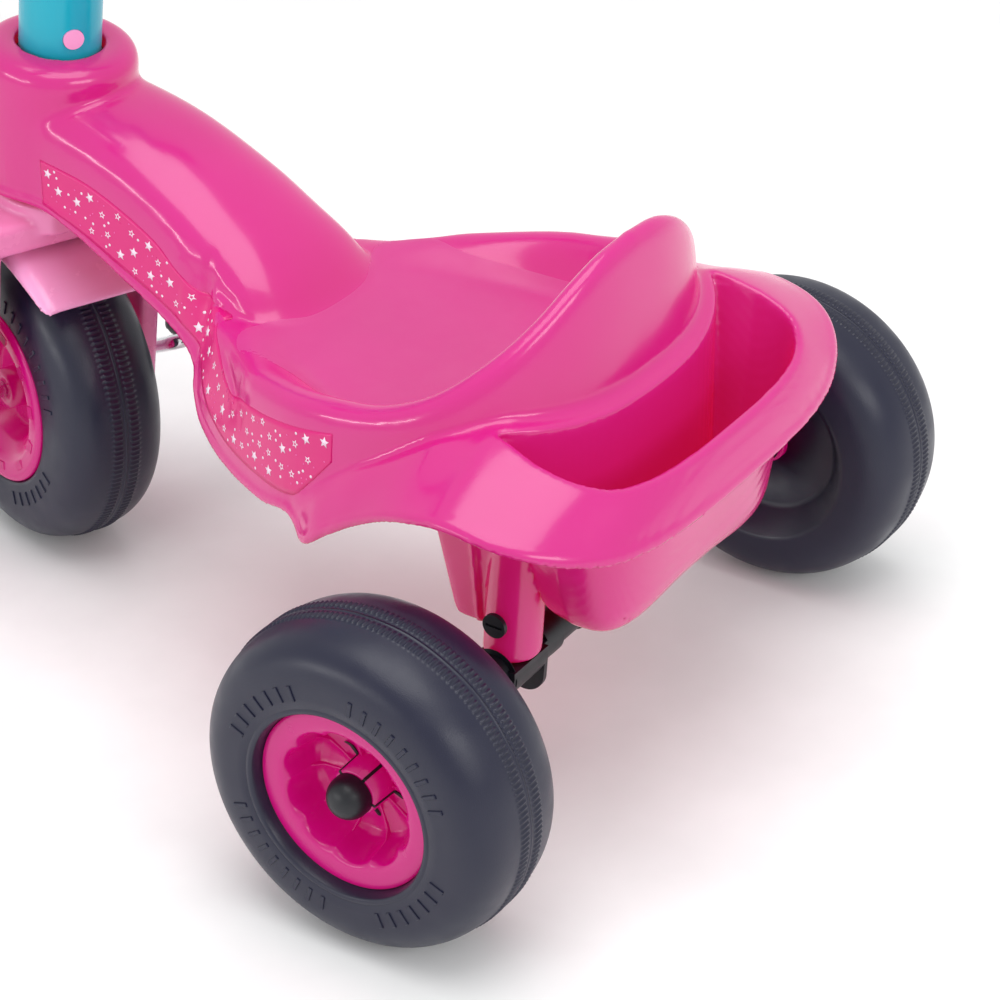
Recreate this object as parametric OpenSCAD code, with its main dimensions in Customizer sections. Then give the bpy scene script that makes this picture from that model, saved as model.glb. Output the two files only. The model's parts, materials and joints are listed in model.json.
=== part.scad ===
// Children's tricycle: moulded body with a rear basket, raked steering, pedal-driven front wheel.
// Z is up, the front faces -Y, and the rider's left is +X. Lengths are in millimetres.

/* [Rear wheels] */
// Diameter of a rear tyre
rear_tyre_d = 185; // [180:1:190]
// Width of a rear tyre
rear_tyre_w = 75; // [72:1:76]
// Distance between the rear wheels' middle planes
rear_track = 420; // [416:2:424]
// Distance of the rear axle behind the origin
rear_axle_y = 217; // [215:1:219]
// Diameter of the steel rear axle
rear_axle_d = 10; // [8:1:12]

/* [Front wheel] */
// Diameter of the front tyre
front_tyre_d = 200; // [196:1:204]
// Width of the front tyre
front_tyre_w = 69; // [66:1:70]
// Distance from the front axle to a pedal's pin
crank_throw = 50; // [44:1:52]
// Angle of the right crank arm above level, at rest
crank_angle = 35; // [0:5:90]

/* [Steering] */
// Lean of the steering axis towards the rider, in degrees
rake = 8; // [4:1:10]
// Turn of the front wheel to the rider's right at rest, in degrees
steer_rest = 19; // [0:1:24]
// Distance of the front axle ahead of the steering axis
fork_offset = 11; // [8:1:14]
// Diameter of the handlebar's stem
stem_d = 47.3; // [46:0.1:48]
// Overall width of the handlebar with its grips
bar_w = 330; // [300:10:360]

/* [Body] */
// Thickness of the body's moulded wall
wall = 3; // [2.5:0.5:3.5]
// Outer diameter of the head round the stem
head_d = 90; // [88:1:92]
// Distance of a leg from the middle plane
leg_x = 89; // [88:1:90]

/* [Hidden] */
fine = 96;
coarse = 40;
eps = 0.01;

// Colours
pink = [0.92, 0.20, 0.58];
light_pink = [0.90, 0.45, 0.68];
sticker_pink = [0.93, 0.0, 0.55];
cyan = [0.0, 0.72, 0.80];
tyre_black = [0.16, 0.17, 0.21];
black = [0.07, 0.07, 0.09];
steel = [0.75, 0.76, 0.78];

// Steering frame: its origin is on the steering axis, level with the front axle
steer_z = front_tyre_d / 2;
steer_y = -181;
front_axle = [0, -fork_offset, 0.5 - fork_offset * tan(rake)];
head_top = 237;

module in_steering() {
    translate([0, steer_y, steer_z])
        rotate([-rake, 0, 0])
            children();
}

module turned() {
    in_steering()
        rotate([0, 0, -steer_rest])
            children();
}

module at_front_axle() {
    turned()
        translate(front_axle)
            children();
}

module at_rear_axle() {
    translate([0, rear_axle_y, rear_tyre_d / 2])
        children();
}

module in_body() {
    translate([0, rear_axle_y, 0])
        children();
}

// Turns a shape whose axis is Z, so that its axis is X
module along_x() {
    rotate([0, 90, 0])
        children();
}

// ---------- Curves through a few points ----------

function slope_at(t, i) =
    let (a = max(i - 1, 0), b = min(i + 1, len(t) - 1))
    (t[b][1] - t[a][1]) / (t[b][0] - t[a][0]);
function span_of(t, v, i = 0) = (i >= len(t) - 2 || v < t[i + 1][0]) ? i : span_of(t, v, i + 1);
function curve(t, v0) =
    let (v = min(max(v0, t[0][0]), t[len(t) - 1][0]))
    let (i = span_of(t, v), h = t[i + 1][0] - t[i][0], s = (v - t[i][0]) / h)
    t[i][1] * (1 + 2 * s) * pow(1 - s, 2) + slope_at(t, i) * h * s * pow(1 - s, 2)
    + t[i + 1][1] * s * s * (3 - 2 * s) - slope_at(t, i + 1) * h * s * s * (1 - s);
function ease(a, b, v) = let (t = min(max((v - a) / (b - a), 0), 1)) t * t * (3 - 2 * t);

// ---------- Body lines, measured forwards (-) and backwards (+) from the rear axle ----------

// Height of the body's lower edge
skirt_line = [
    [-420, 250], [-382, 250], [-350, 247], [-323, 238], [-290, 222], [-259, 207], [-239, 197],
    [-227, 187], [-219, 177], [-206, 169], [-179, 162.5], [-140, 161], [-116, 165], [-96, 160],
    [-75, 174], [-56, 187], [-33, 200], [-12, 208], [7, 212], [28, 210], [52, 204], [69, 196],
    [80, 189], [95, 184]
];
// Half width of the side wall, from the head to the widest part of the seat
wall_line = [
    [-420, 44], [-365, 45], [-330, 47], [-300, 49], [-266, 52], [-245, 56], [-230, 63],
    [-220, 73], [-206, 84], [-179, 99.5], [-140, 117.5], [-116, 126], [-95, 130], [-75, 131]
];
// Half width of the neck's rounded top
neck_line = [[-365, 45], [-330, 47], [-300, 49], [-266, 51], [-220, 53], [-190, 56], [-150, 50]];
// Height of the neck's spine
spine_line = [
    [-365, 317], [-329, 312], [-290, 301], [-248, 281], [-220, 264], [-197, 247], [-180, 229],
    [-165, 207], [-150, 190]
];
// Height of the seat's edge against the angle round the seat, from the middle of its back
crest_line = [
    [0, 311], [20, 308], [35, 299], [48, 285], [62, 268], [77, 250], [92, 239], [108, 234],
    [124, 229], [141, 225], [180, 222]
];
// Height of the wall's top where the seat runs into the neck
shoulder_line = [
    [-262, 250], [-250, 246], [-233, 240], [-212, 227], [-190, 214], [-175, 208], [-160, 203]
];
// Height of the seat's pan
pan_line = [[-230, 222], [-185, 221], [-150, 215], [-100, 209], [-60, 209], [-30, 213], [40, 220]];
// Half width of the rear flange, ahead of its rounded end
flange_line = [
    [-120, 122], [-116, 126], [-94, 145], [-75, 149], [-56, 152], [-33, 157], [-12, 162], [7, 165]
];
// Height of the flange's inner edge
flange_crest = [
    [-120, 160], [-116, 167], [-95, 186], [-70, 205], [-51, 217], [-23, 233], [0, 240],
    [11, 239], [28, 234], [45, 229], [57, 225], [68, 220], [85, 216]
];
seat_y = -60;
seat_mid = -75;
seat_end = 33;
seat_half = 131;
seat_power = 2.4;
flange_mid = 7;
flange_half = 165;
flange_depth = 83;
mouth_mid = 30;
mouth_half = 113;
mouth_depth = 52;
mouth_front = 106;
oval = 3;
mould_floor = 150;

function seat_width(y) =
    y < seat_mid ? curve(wall_line, y)
    : seat_half * pow(max(1 - pow((y - seat_mid) / (seat_end - seat_mid), seat_power), 0), 1 / seat_power);
function flange_width(y) =
    y < flange_mid ? curve(flange_line, y)
    : flange_half * pow(max(1 - pow((y - flange_mid) / flange_depth, oval), 0), 1 / oval);

// Distance inside an outline with straight-ish sides and a superelliptic end
function inside_end(x, y, mid, a, b, n) =
    let (t = max(y - mid, 0) / b, u = abs(x) / a, g = pow(max(pow(u, n) + pow(t, n), 1e-6), 1 / n))
    let (gx = pow(u, n - 1) / a * pow(g, 1 - n), gy = pow(t, n - 1) / b * pow(g, 1 - n))
    min((1 - g) / sqrt(gx * gx + gy * gy + 1e-9), 200);
function inside_side(x, w, dw) = (w - abs(x)) / sqrt(1 + dw * dw);
function inside_seat(x, y) =
    y < seat_mid
    ? inside_side(x, curve(wall_line, y), (curve(wall_line, min(y + 1, seat_mid)) - curve(wall_line, y - 1)) / 2)
    : inside_end(x, y, seat_mid, seat_half, seat_end - seat_mid, seat_power);
function inside_flange(x, y) =
    y < flange_mid
    ? inside_side(x, curve(flange_line, y), (curve(flange_line, y + 1) - curve(flange_line, y - 1)) / 2)
    : inside_end(x, y, flange_mid, flange_half, flange_depth, oval);
function inside_mouth(x, y) =
    y < mouth_mid ? mouth_front + (mouth_half - mouth_front) * ease(0, mouth_mid, y) - abs(x)
    : inside_end(x, y, mouth_mid, mouth_half, mouth_depth, oval);

// Height of the seat, with its raised edge and the backrest
function seat_top(x, y) =
    let (e = max(inside_seat(x, y), 0), a = atan2(abs(x), y - seat_y), side = curve(shoulder_line, y))
    let (crest = max(curve(crest_line, a), side + 1), back = 1 - ease(35, 95, a), edge = 15 + 3 * back)
    let (fall = min(20 + 42 * back, crest - side), slope = 32 + 8 * back)
    let (k = 1 - min(e, edge) / edge, s = min(max((e - edge) / slope, 0), 1), pan = curve(pan_line, y))
    e < edge ? crest - fall * (1 - sqrt(max(1 - k * k, 0)))
    : pan + (crest - pan) * (1 - s * s * (3 - 2 * s));
function neck_top(x, y) =
    let (w = curve(neck_line, y), t = min(abs(x) / w, 1))
    curve(spine_line, y) - 46 * (1 - pow(max(1 - pow(t, 2.6), 0), 1 / 2.6)) - max(abs(x) - w, 0);
function tub_top(x, y) = y < -262 ? neck_top(x, y) : max(neck_top(x, y), seat_top(x, y));

// Height of the flange round the basket, which dives under the seat
function flange_top(x, y) =
    let (aft = ease(-25, 5, y), out = max(inside_flange(x, y), 0), seat = inside_seat(x, y))
    let (off = aft * max(-inside_mouth(x, y), 0) + (1 - aft) * max(-seat - 1, 0))
    let (u = off / (off + out + 1e-6), low = curve(skirt_line, y) + 4, high = curve(flange_crest, y))
    low + (high - low) * (1 - pow(u, 1.25)) - (y < 20 ? 1.5 * max(seat - 3, 0) : 0);

// Closes a row of equal cross-sections into one solid
module loft(sections) {
    n = len(sections[0]);
    m = len(sections);
    sides = [
        for (j = [0:m - 2], i = [0:n - 1])
            let (a = j * n + i, b = j * n + (i + 1) % n)
            each [[a, b + n, b], [a, a + n, b + n]]
    ];
    front = [[for (i = [0:n - 1]) i]];
    back = [[for (i = [n - 1:-1:0]) (m - 1) * n + i]];
    points = [for (s = sections) each s];
    polyhedron(points = points, faces = concat(sides, front, back), convexity = 8);
}

across = 9;
function spread(k) = sin(90 * k / across);
function lerp(a, b, t) = a + (b - a) * t;

function tub_section(y, in) =
    let (w = seat_width(y) - in, low = mould_floor - in * 4)
    concat(
        [for (k = [-across:across]) let (x = w * spread(k)) [x, y, tub_top(x, y) - in * 1.2]],
        [[w, y, low], [-w, y, low]]
    );
function flange_section(y, in) =
    let (w = flange_width(y) - in, low = mould_floor - in * 4)
    concat(
        [for (k = [-across:across]) let (x = w * spread(k)) [x, y, max(flange_top(x, y) - in * 1.2, low + 1)]],
        [[w, y, low], [-w, y, low]]
    );

tub_front = -372;
tub_steps = 26;
flange_front = -119;
flange_steps = 18;
module tub(in) {
    rows = [for (j = [0:tub_steps]) lerp(tub_front + in, seat_end - in - 0.4, sin(90 * j / tub_steps))];
    loft([for (y = rows) tub_section(y, in)]);
}

module flange(in) {
    rows = [
        for (j = [0:flange_steps])
            lerp(flange_front + in, flange_mid + flange_depth - in - 0.4, sin(90 * j / flange_steps))
    ];
    loft([for (y = rows) flange_section(y, in)]);
}

// Half outline points, mirrored into a closed plan shape
function mirrored(pts) = concat(pts, [for (i = [len(pts) - 1:-1:0]) [-pts[i][0], pts[i][1]]]);
function mouth_outline(grow) =
    mirrored(concat(
        [[mouth_front + grow, -30]],
        [
            for (a = [0:9:90])
                [
                    (mouth_half + grow) * pow(max(cos(a), 0), 2 / oval),
                    mouth_mid + (mouth_depth + grow) * pow(sin(a), 2 / oval)
                ]
        ]
    ));
function seat_end_outline(grow) =
    mirrored([
        for (a = [0:9:90])
            [
                (seat_half + grow) * pow(max(cos(a), 0), 2 / seat_power),
                seat_mid + (seat_end - seat_mid + grow) * pow(sin(a), 2 / seat_power)
            ]
    ]);

mouth_z = 245;
floor_z = 118;
basket_taper = 30;
basket_lean = 5;

// Bucket shape of the basket: wide at its mouth, narrower at its floor
module basket_form(grow, floor) {
    difference() {
        hull() {
            translate([0, 0, mouth_z])
                linear_extrude(eps)
                    polygon(mouth_outline(grow));
            translate([0, basket_lean, floor + 12])
                linear_extrude(eps)
                    polygon(mouth_outline(grow - basket_taper + 3));
            translate([0, basket_lean, floor])
                linear_extrude(eps)
                    polygon(mouth_outline(grow - basket_taper - 6));
        }
        translate([0, 0, floor - 1])
            linear_extrude(mouth_z)
                polygon(seat_end_outline(4.5 - grow));
    }
}

// Open walls under the seat that tie the basket to the legs
box_front = -57;
box_half = 100;
box_foot = 108;
module box_form(in) {
    hull() {
        for (x = [-1, 1], y = [box_front + 10, 8])
            translate([x * (box_half - 10), y, 222])
                cylinder(r = 10 - in, h = 1, $fn = coarse);
        for (x = [-1, 1], y = [box_front + 43, 8])
            translate([x * (box_half - 33), y, 0])
                cylinder(r = 10 - in, h = 1, $fn = coarse);
    }
}

leg_r = 15.8;
leg_foot = 98;
leg_bore = 10.7;
spigot_x = leg_x - 1.5;
pin_z = 121.7;
pin_head = 7;
module leg_form() {
    hull() {
        translate([leg_x, 0, leg_foot])
            cylinder(r = leg_r - 1.8, h = 1, $fn = coarse);
        translate([leg_x, 0, leg_foot + 2])
            cylinder(r = leg_r, h = 1, $fn = coarse);
        translate([leg_x - 14, 0, 205])
            cylinder(r = leg_r + 1, h = 1, $fn = coarse);
    }
}

module rib_form(y) {
    hull() {
        translate([box_half - 16, y, box_foot + 2])
            cube([5.5, 3, 1]);
        translate([box_half - 7, y, 200])
            cube([6, 3, 1]);
    }
}

// Everything below the body's lower edge
module below_skirt() {
    rotate([90, 0, 90])
        linear_extrude(400, center = true)
            polygon(concat(
                [[-480, 252]],
                [for (j = [0:52]) let (y = lerp(-425, 95, j / 52)) [y, curve(skirt_line, y)]],
                [[120, 184], [120, 50], [-480, 50]]
            ));
}

module head_form(r, top) {
    rotate_extrude($fn = 72)
        polygon(concat(
            [[0, 110], [r, 110], [r, top - 14]],
            [for (a = [15:15:90]) [r - 14 * (1 - cos(a)), top - 14 * (1 - sin(a))]],
            [[0, top]]
        ));
}

module in_head() {
    translate([0, -rear_axle_y, 0])
        in_steering()
            children();
}

tube_bore = 25.4;
tube_foot = 150;
module body_shell() {
    color(pink)
        in_body()
            difference() {
                union() {
                    skin();
                    basket();
                    box_walls();
                    for (side = [0, 1])
                        mirror([side, 0, 0]) {
                            leg_form();
                            rib_form(-22.5);
                        }
                    in_head()
                        translate([0, 0, tube_foot])
                            cylinder(r = tube_bore + wall, h = head_top - wall / 2 - tube_foot, $fn = 72);
                }
                in_head()
                    cylinder(r = tube_bore, h = 300, $fn = fine);
                for (side = [-1, 1])
                    translate([side * spigot_x, 0, 50])
                        cylinder(r = leg_bore, h = 77, $fn = coarse);
                translate([0, 0, pin_z])
                    along_x()
                        cylinder(r = 3.2, h = 300, center = true, $fn = coarse);
                for (side = [0, 1])
                    mirror([side, 0, 0])
                        translate([leg_x + leg_r - 1.2, 0, pin_z])
                            along_x()
                                cylinder(r = pin_head + 0.3, h = 12, $fn = coarse);
            }
}

// Outer skin of the body, open below
module skin() {
    difference() {
        union() {
            tub(0);
            flange(0);
            in_head()
                head_form(head_d / 2, head_top);
        }
        tub(wall);
        flange(wall);
        in_head()
            head_form(head_d / 2 - wall, head_top - wall);
        below_skirt();
        basket_form(0, floor_z + wall);
    }
}

module basket() {
    difference() {
        basket_form(wall, floor_z);
        basket_form(0, floor_z + wall);
        translate([-200, -200, 214])
            cube([400, 400, 60]);
    }
}

module box_walls() {
    difference() {
        box_form(0);
        box_form(wall);
        translate([-200, 6, 0])
            cube([400, 200, 300]);
        translate([-200, -200, 0])
            cube([400, 400, box_foot]);
        translate([-200, -200, 207])
            cube([400, 400, 60]);
    }
}

// ---------- Stickers on the body's sides ----------

// Heights of the sticker's lower and upper edges
sticker_low = [
    [-350, 252], [-322, 243], [-290, 229], [-259, 216], [-234, 205], [-212, 191], [-194, 182],
    [-175, 176], [-148, 174], [-112, 177], [-98, 190], [-84, 206]
];
sticker_high = [
    [-350, 279], [-309, 272], [-265, 254], [-248, 241], [-228, 230], [-207, 219], [-190, 209],
    [-175, 205], [-164, 208], [-138, 212], [-110, 217], [-84, 222]
];
sticker_t = 0.6;

// Stations of the body's wall that the sticker lies along, so that it follows the same flats
function tub_row(j) = lerp(tub_front, seat_end - 0.4, sin(90 * j / tub_steps));
sticker_rows = [for (j = [0:tub_steps]) if (tub_row(j) > -350 && tub_row(j) < -84) tub_row(j)];
sticker_count = len(sticker_rows);
module side_sticker(side) {
    ys = sticker_rows;
    color(sticker_pink)
        in_body()
            intersection() {
                linear_extrude(300)
                    polygon(concat(
                        [for (y = ys) [side * (seat_width(y) + 0.05), y]],
                        [
                            for (j = [sticker_count - 1:-1:0])
                                [side * (seat_width(ys[j]) + 0.05 + sticker_t), ys[j]]
                        ]
                    ));
                rotate([90, 0, 90])
                    linear_extrude(400, center = true)
                        polygon(concat(
                            [for (y = ys) [y, curve(sticker_low, y)]],
                            [for (j = [sticker_count - 1:-1:0]) [ys[j], curve(sticker_high, ys[j])]]
                        ));
            }
}

module side_sticker_left() {
    side_sticker(1);
}

module side_sticker_right() {
    side_sticker(-1);
}

// ---------- Steering bushes in the head ----------

stem_r = stem_d / 2;
run_fit = 0.05;
slip = 0.1;
module head_bush(z, h) {
    color(black)
        in_steering()
            translate([0, 0, z])
                difference() {
                    cylinder(r = tube_bore - slip, h = h, $fn = fine);
                    translate([0, 0, -1])
                        cylinder(r = stem_r + run_fit, h = h + 2, $fn = fine);
                }
}

module head_bush_upper() {
    head_bush(head_top - 24, 16);
}

module head_bush_lower() {
    head_bush(tube_foot + 1, 16);
}

// ---------- Rear axle ----------

rod_r = rear_axle_d / 2;
rod_end = rear_track / 2 + 28;
beam_end = rear_track / 2 - 27;
beam_r = 11;
beam_top = leg_foot - rear_tyre_d / 2 - 0.2;
spigot_r = 10.4;
saddle_in = 75;
saddle_out = 108;
saddle_half = 14.3;

// Plate at one end of the seat that a leg stands on
module saddle_plate(x) {
    translate([x, 0, 0])
        along_x()
            linear_extrude(3)
                hull() {
                    translate([13, 0])
                        circle(r = 12.9, $fn = fine);
                    translate([-beam_top, -saddle_half])
                        square([2, 2 * saddle_half]);
                }
}

// Everything of the beam but the spigots, cut flat where the legs stand
module beam_body() {
    difference() {
        union() {
            along_x()
                cylinder(r = beam_r, h = 2 * beam_end, center = true, $fn = fine);
            for (side = [0, 1])
                mirror([side, 0, 0]) {
                    saddle_plate(saddle_in);
                    saddle_plate(saddle_out - 3);
                    translate([saddle_in, -saddle_half, beam_top - 4])
                        cube([saddle_out - saddle_in, 2 * saddle_half, 4]);
                    translate([57, 0, 0])
                        along_x()
                            cylinder(r = 12.6, h = 19, $fn = fine);
                    translate([76, 0, 0])
                        along_x()
                            cylinder(r = 14.5, h = 30, $fn = fine);
                    translate([28, 0, 0])
                        along_x()
                            cylinder(r = 12.6, h = 4, $fn = fine);
                }
            translate([-saddle_in - 1, -8, -2])
                cube([2 * saddle_in + 2, 16, 5]);
            translate([-saddle_in - 1, -2, -2])
                cube([2 * saddle_in + 2, 4, beam_top]);
        }
        for (side = [0, 1])
            mirror([side, 0, 0])
                translate([saddle_in - 3.4, -20, beam_top])
                    cube([saddle_out - saddle_in + 1.2, 40, 20]);
    }
}

module rear_axle_beam() {
    color(black)
        at_rear_axle()
            difference() {
                union() {
                    beam_body();
                    for (side = [-1, 1])
                        translate([side * spigot_x, 0, 0])
                            cylinder(r = spigot_r, h = beam_top + 28, $fn = fine);
                }
                along_x()
                    cylinder(r = rod_r + slip, h = 500, center = true, $fn = fine);
                translate([0, 0, pin_z - rear_tyre_d / 2])
                    along_x()
                        cylinder(r = 3.1, h = 400, center = true, $fn = fine);
            }
}

module rear_axle_rod() {
    color(steel)
        at_rear_axle()
            along_x()
                cylinder(r = rod_r, h = 2 * rod_end, center = true, $fn = fine);
}

module leg_pins() {
    color(black)
        translate([0, rear_axle_y, pin_z])
            for (side = [0, 1])
                mirror([side, 0, 0])
                    along_x()
                        difference() {
                            union() {
                                translate([0, 0, leg_x - 16])
                                    cylinder(r = 3, h = leg_r + 16, $fn = coarse);
                                translate([0, 0, leg_x + leg_r - 1.1])
                                    cylinder(r = pin_head, h = 2.4, $fn = coarse);
                            }
                            translate([-0.8, -5, leg_x + leg_r + 0.5])
                                cube([1.6, 10, 2]);
                        }
}

// ---------- Rear wheels ----------

rear_hw = rear_tyre_w / 2;
rear_r = rear_tyre_d / 2;
ring_r = 51.2;
bowl_r = 39.6;
bowl_floor = 2;
sleeve_r = 13;

// Round shoulder of a tyre, from its side wall at one edge to its side wall at the other
function shoulder(r0, r1, hw) = [
    for (a = [-90:7.5:90])
        [r0 + (r1 - r0) * pow(max(cos(a), 0), 0.74), hw * sign(a) * pow(abs(sin(a)), 0.7)]
];

// Wheels are drawn round Z, with their outer side up
module rear_tyre_form() {
    difference() {
        rotate_extrude($fn = fine)
            polygon(concat(
                [[sleeve_r + 0.2, -20], [42, -20], [57, 0.4 - rear_hw], [60, -rear_hw]],
                shoulder(63, rear_r, rear_hw),
                [
                    [54, rear_hw], [52.5, rear_hw - 1], [ring_r, rear_hw - 6.5],
                    [ring_r, rear_hw - 9], [bowl_r, rear_hw - 9], [bowl_r, bowl_floor],
                    [sleeve_r + 0.2, bowl_floor]
                ]
            ));
        rotate_extrude($fn = fine)
            polygon([[46, -15], [60, -30], [74, -30], [87, 0], [74, 30], [60, 30], [54, 24], [46, 10]]);
    }
}

module at_rear_wheel(side) {
    at_rear_axle()
        translate([side * rear_track / 2, 0, 0])
            rotate([0, 90 * side, 0])
                children();
}

module rear_tyre_left() {
    color(tyre_black)
        at_rear_wheel(1)
            rear_tyre_form();
}

module rear_tyre_right() {
    color(tyre_black)
        at_rear_wheel(-1)
            rear_tyre_form();
}

// Dished hub with a bore, a lip, ten ribs and a boss
hub_ribs = 10;
hub_floor = 2.2;
hub_lip = rear_hw - 8.9;
boss_top = 22;
module rear_hub_form() {
    difference() {
        union() {
            rotate_extrude($fn = fine)
                polygon([
                    [rod_r + run_fit, -24], [sleeve_r, -24], [sleeve_r, hub_floor],
                    [bowl_r - 0.3, hub_floor], [bowl_r - 0.3, hub_lip], [ring_r - 0.4, hub_lip],
                    [ring_r - 0.6, hub_lip + 2.5], [bowl_r - 0.6, hub_lip + 3], [bowl_r - 3, hub_lip],
                    [bowl_r - 3.4, hub_floor + 3], [sleeve_r, hub_floor + 3], [11, boss_top],
                    [rod_r + run_fit, boss_top]
                ]);
            for (i = [0:hub_ribs - 1])
                rotate([0, 0, 360 / hub_ribs * (i + 0.5)])
                    translate([12, -1, hub_floor + 2])
                        cube([25, 2, 7]);
        }
        translate([0, 0, -30])
            cylinder(r = rod_r + run_fit, h = 60, $fn = fine);
    }
}

module rear_hub_left() {
    color(pink)
        at_rear_wheel(1)
            rear_hub_form();
}

module rear_hub_right() {
    color(pink)
        at_rear_wheel(-1)
            rear_hub_form();
}

cap_r = 11.75;
cap_foot = boss_top + 0.5;
module axle_cap_form() {
    difference() {
        union() {
            translate([0, 0, cap_foot])
                cylinder(r = cap_r, h = 3, $fn = fine);
            intersection() {
                translate([0, 0, cap_foot + 3])
                    sphere(r = cap_r, $fn = fine);
                translate([0, 0, cap_foot])
                    cylinder(r = 20, h = 20, $fn = fine);
            }
        }
        cylinder(r = rod_r + slip, h = rod_end - rear_track / 2 + 0.5, $fn = fine);
    }
}

module axle_cap_left() {
    color(black)
        at_rear_wheel(1)
            axle_cap_form();
}

module axle_cap_right() {
    color(black)
        at_rear_wheel(-1)
            axle_cap_form();
}

// ---------- Fork ----------

blade_in = 48;
blade_out = 62;
blade_half = 22;
blade_foot = -24;
crown_z = 118;
crown_top = 139;
boss_h = 8;
fork_boss_r = 40;
spigot_top = 262;
stem_bore = 20.1;
screw_z = 248;
screw_turn = 77.5;
bush_r = 8;
crank_r = 4.75;

module rounded_plate(x, y, h, r) {
    linear_extrude(h) {
        square([2 * x, 2 * (y - r)], center = true);
        square([2 * (x - r), 2 * y], center = true);
        for (sx = [-1, 1], sy = [-1, 1])
            translate([sx * (x - r), sy * (y - r)])
                circle(r = r, $fn = coarse);
    }
}

module blade_form() {
    rotate([90, 0, 90])
        linear_extrude(blade_out - blade_in)
            polygon([
                [-blade_half, crown_top - 1], [-blade_half, blade_foot + 18],
                [-blade_half + 12, blade_foot], [blade_half - 12, blade_foot],
                [blade_half, blade_foot + 18], [blade_half, crown_top - 1]
            ]);
}

module fork() {
    color(pink)
        turned()
            difference() {
                union() {
                    translate([0, 0, crown_z])
                        rounded_plate(blade_out, 30, crown_top - crown_z, 12);
                    translate([0, 0, crown_top - 1])
                        cylinder(r = fork_boss_r, h = boss_h + 1, $fn = fine);
                    cylinder(r = stem_bore - slip, h = spigot_top, $fn = fine);
                    translate([blade_in, 0, 0])
                        blade_form();
                    translate([-blade_out, 0, 0])
                        blade_form();
                }
                translate([0, 0, -1])
                    cylinder(r = 30, h = crown_z + 1, $fn = fine);
                translate(front_axle)
                    along_x()
                        cylinder(r = bush_r + slip, h = 200, center = true, $fn = fine);
                translate([0, 0, 40])
                    cylinder(r = 16, h = 300, $fn = fine);
                across_stem()
                    cylinder(r = 2.6, h = 80, center = true, $fn = coarse);
                for (x = [-22, 22])
                    translate([x, 0, crown_z - 5])
                        cylinder(r = 2.1, h = 17, $fn = coarse);
            }
}

module across_stem() {
    translate([0, 0, screw_z])
        rotate([0, 0, screw_turn])
            rotate([0, 90, 0])
                children();
}

module fork_bush(side) {
    color(black)
        at_front_axle()
            along_x()
                difference() {
                    translate([0, 0, side > 0 ? blade_in : -blade_out])
                        cylinder(r = bush_r, h = blade_out - blade_in, $fn = fine);
                    cylinder(r = crank_r + run_fit, h = 200, center = true, $fn = fine);
                }
}

module fork_bush_left() {
    fork_bush(1);
}

module fork_bush_right() {
    fork_bush(-1);
}

// ---------- Front fender ----------

fender_half = 40;
fender_r = 117;
fender_t = 3;
fender_back = 53;
fender_front = 150;
module fender_side() {
    intersection() {
        circle(r = fender_r, $fn = fine);
        polygon([[-118, 62], [-40, 103], [20, 103], [68, 91], [110, 150], [-150, 150]]);
    }
}

module front_fender() {
    color(light_pink)
        turned()
            difference() {
                translate([0, front_axle[1], front_axle[2]])
                    rotate([90, 0, 90])
                        difference() {
                            linear_extrude(2 * fender_half, center = true)
                                fender_side();
                            linear_extrude(2 * (fender_half - fender_t), center = true)
                                circle(r = fender_r - fender_t, $fn = fine);
                        }
                for (x = [-22, 22])
                    translate([x, 0, 60])
                        cylinder(r = 2.2, h = 80, $fn = coarse);
            }
}

module fender_screws() {
    color(steel)
        turned()
            for (x = [-22, 22])
                translate([x, 0, 0]) {
                    translate([0, 0, 107])
                        cylinder(r = 4, h = 3, $fn = coarse);
                    translate([0, 0, 109])
                        cylinder(r = 2, h = 18, $fn = coarse);
                }
}

// ---------- Handlebar ----------

stem_foot = crown_top + boss_h + 0.3;
stem_top = 372;
bar_r = 13;
socket_r = 28;
socket_h = 40;
bar_knee = 60;
bar_rise = 52;
bar_back = 26;
grip_r = 17;
grip_l = 100;
grip_gap = 15;
grip_end = bar_w / 2;
knee = [bar_knee, 0, stem_top];
shoulder_at = [grip_end - grip_l, bar_back, stem_top + bar_rise];

// Round bar between two points
module bar(p, q, r) {
    v = q - p;
    l = norm(v);
    translate(p)
        rotate([0, acos(v[2] / l), atan2(v[1], v[0])])
            cylinder(r = r, h = l, $fn = fine);
}

module steering_stem() {
    color(cyan)
        turned()
            difference() {
                translate([0, 0, stem_foot])
                    cylinder(r = stem_r, h = stem_top - stem_foot, $fn = fine);
                translate([0, 0, 40])
                    cylinder(r = stem_bore, h = 400, $fn = fine);
                across_stem()
                    cylinder(r = 2.6, h = 80, center = true, $fn = coarse);
                across_stem()
                    translate([0, 0, stem_r - 2])
                        cylinder(r = 6.2, h = 10, $fn = coarse);
            }
}

module handlebar() {
    color(cyan)
        turned()
            difference() {
                union() {
                    translate([0, 0, stem_top - socket_h])
                        cylinder(r = socket_r, h = socket_h + 18, $fn = fine);
                    translate([0, 0, stem_top])
                        along_x()
                            cylinder(r = bar_r, h = 2 * bar_knee, center = true, $fn = fine);
                    for (side = [0, 1])
                        mirror([side, 0, 0]) {
                            translate(knee)
                                sphere(r = bar_r + 0.4, $fn = coarse);
                            bar(knee, shoulder_at, bar_r);
                            translate(shoulder_at)
                                sphere(r = bar_r + 0.4, $fn = coarse);
                            bar(shoulder_at, shoulder_at + [grip_l - 4, 0, 0], bar_r);
                        }
                }
                translate([0, 0, 40])
                    cylinder(r = stem_r + slip, h = stem_top - 39.8, $fn = fine);
            }
}

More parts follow.
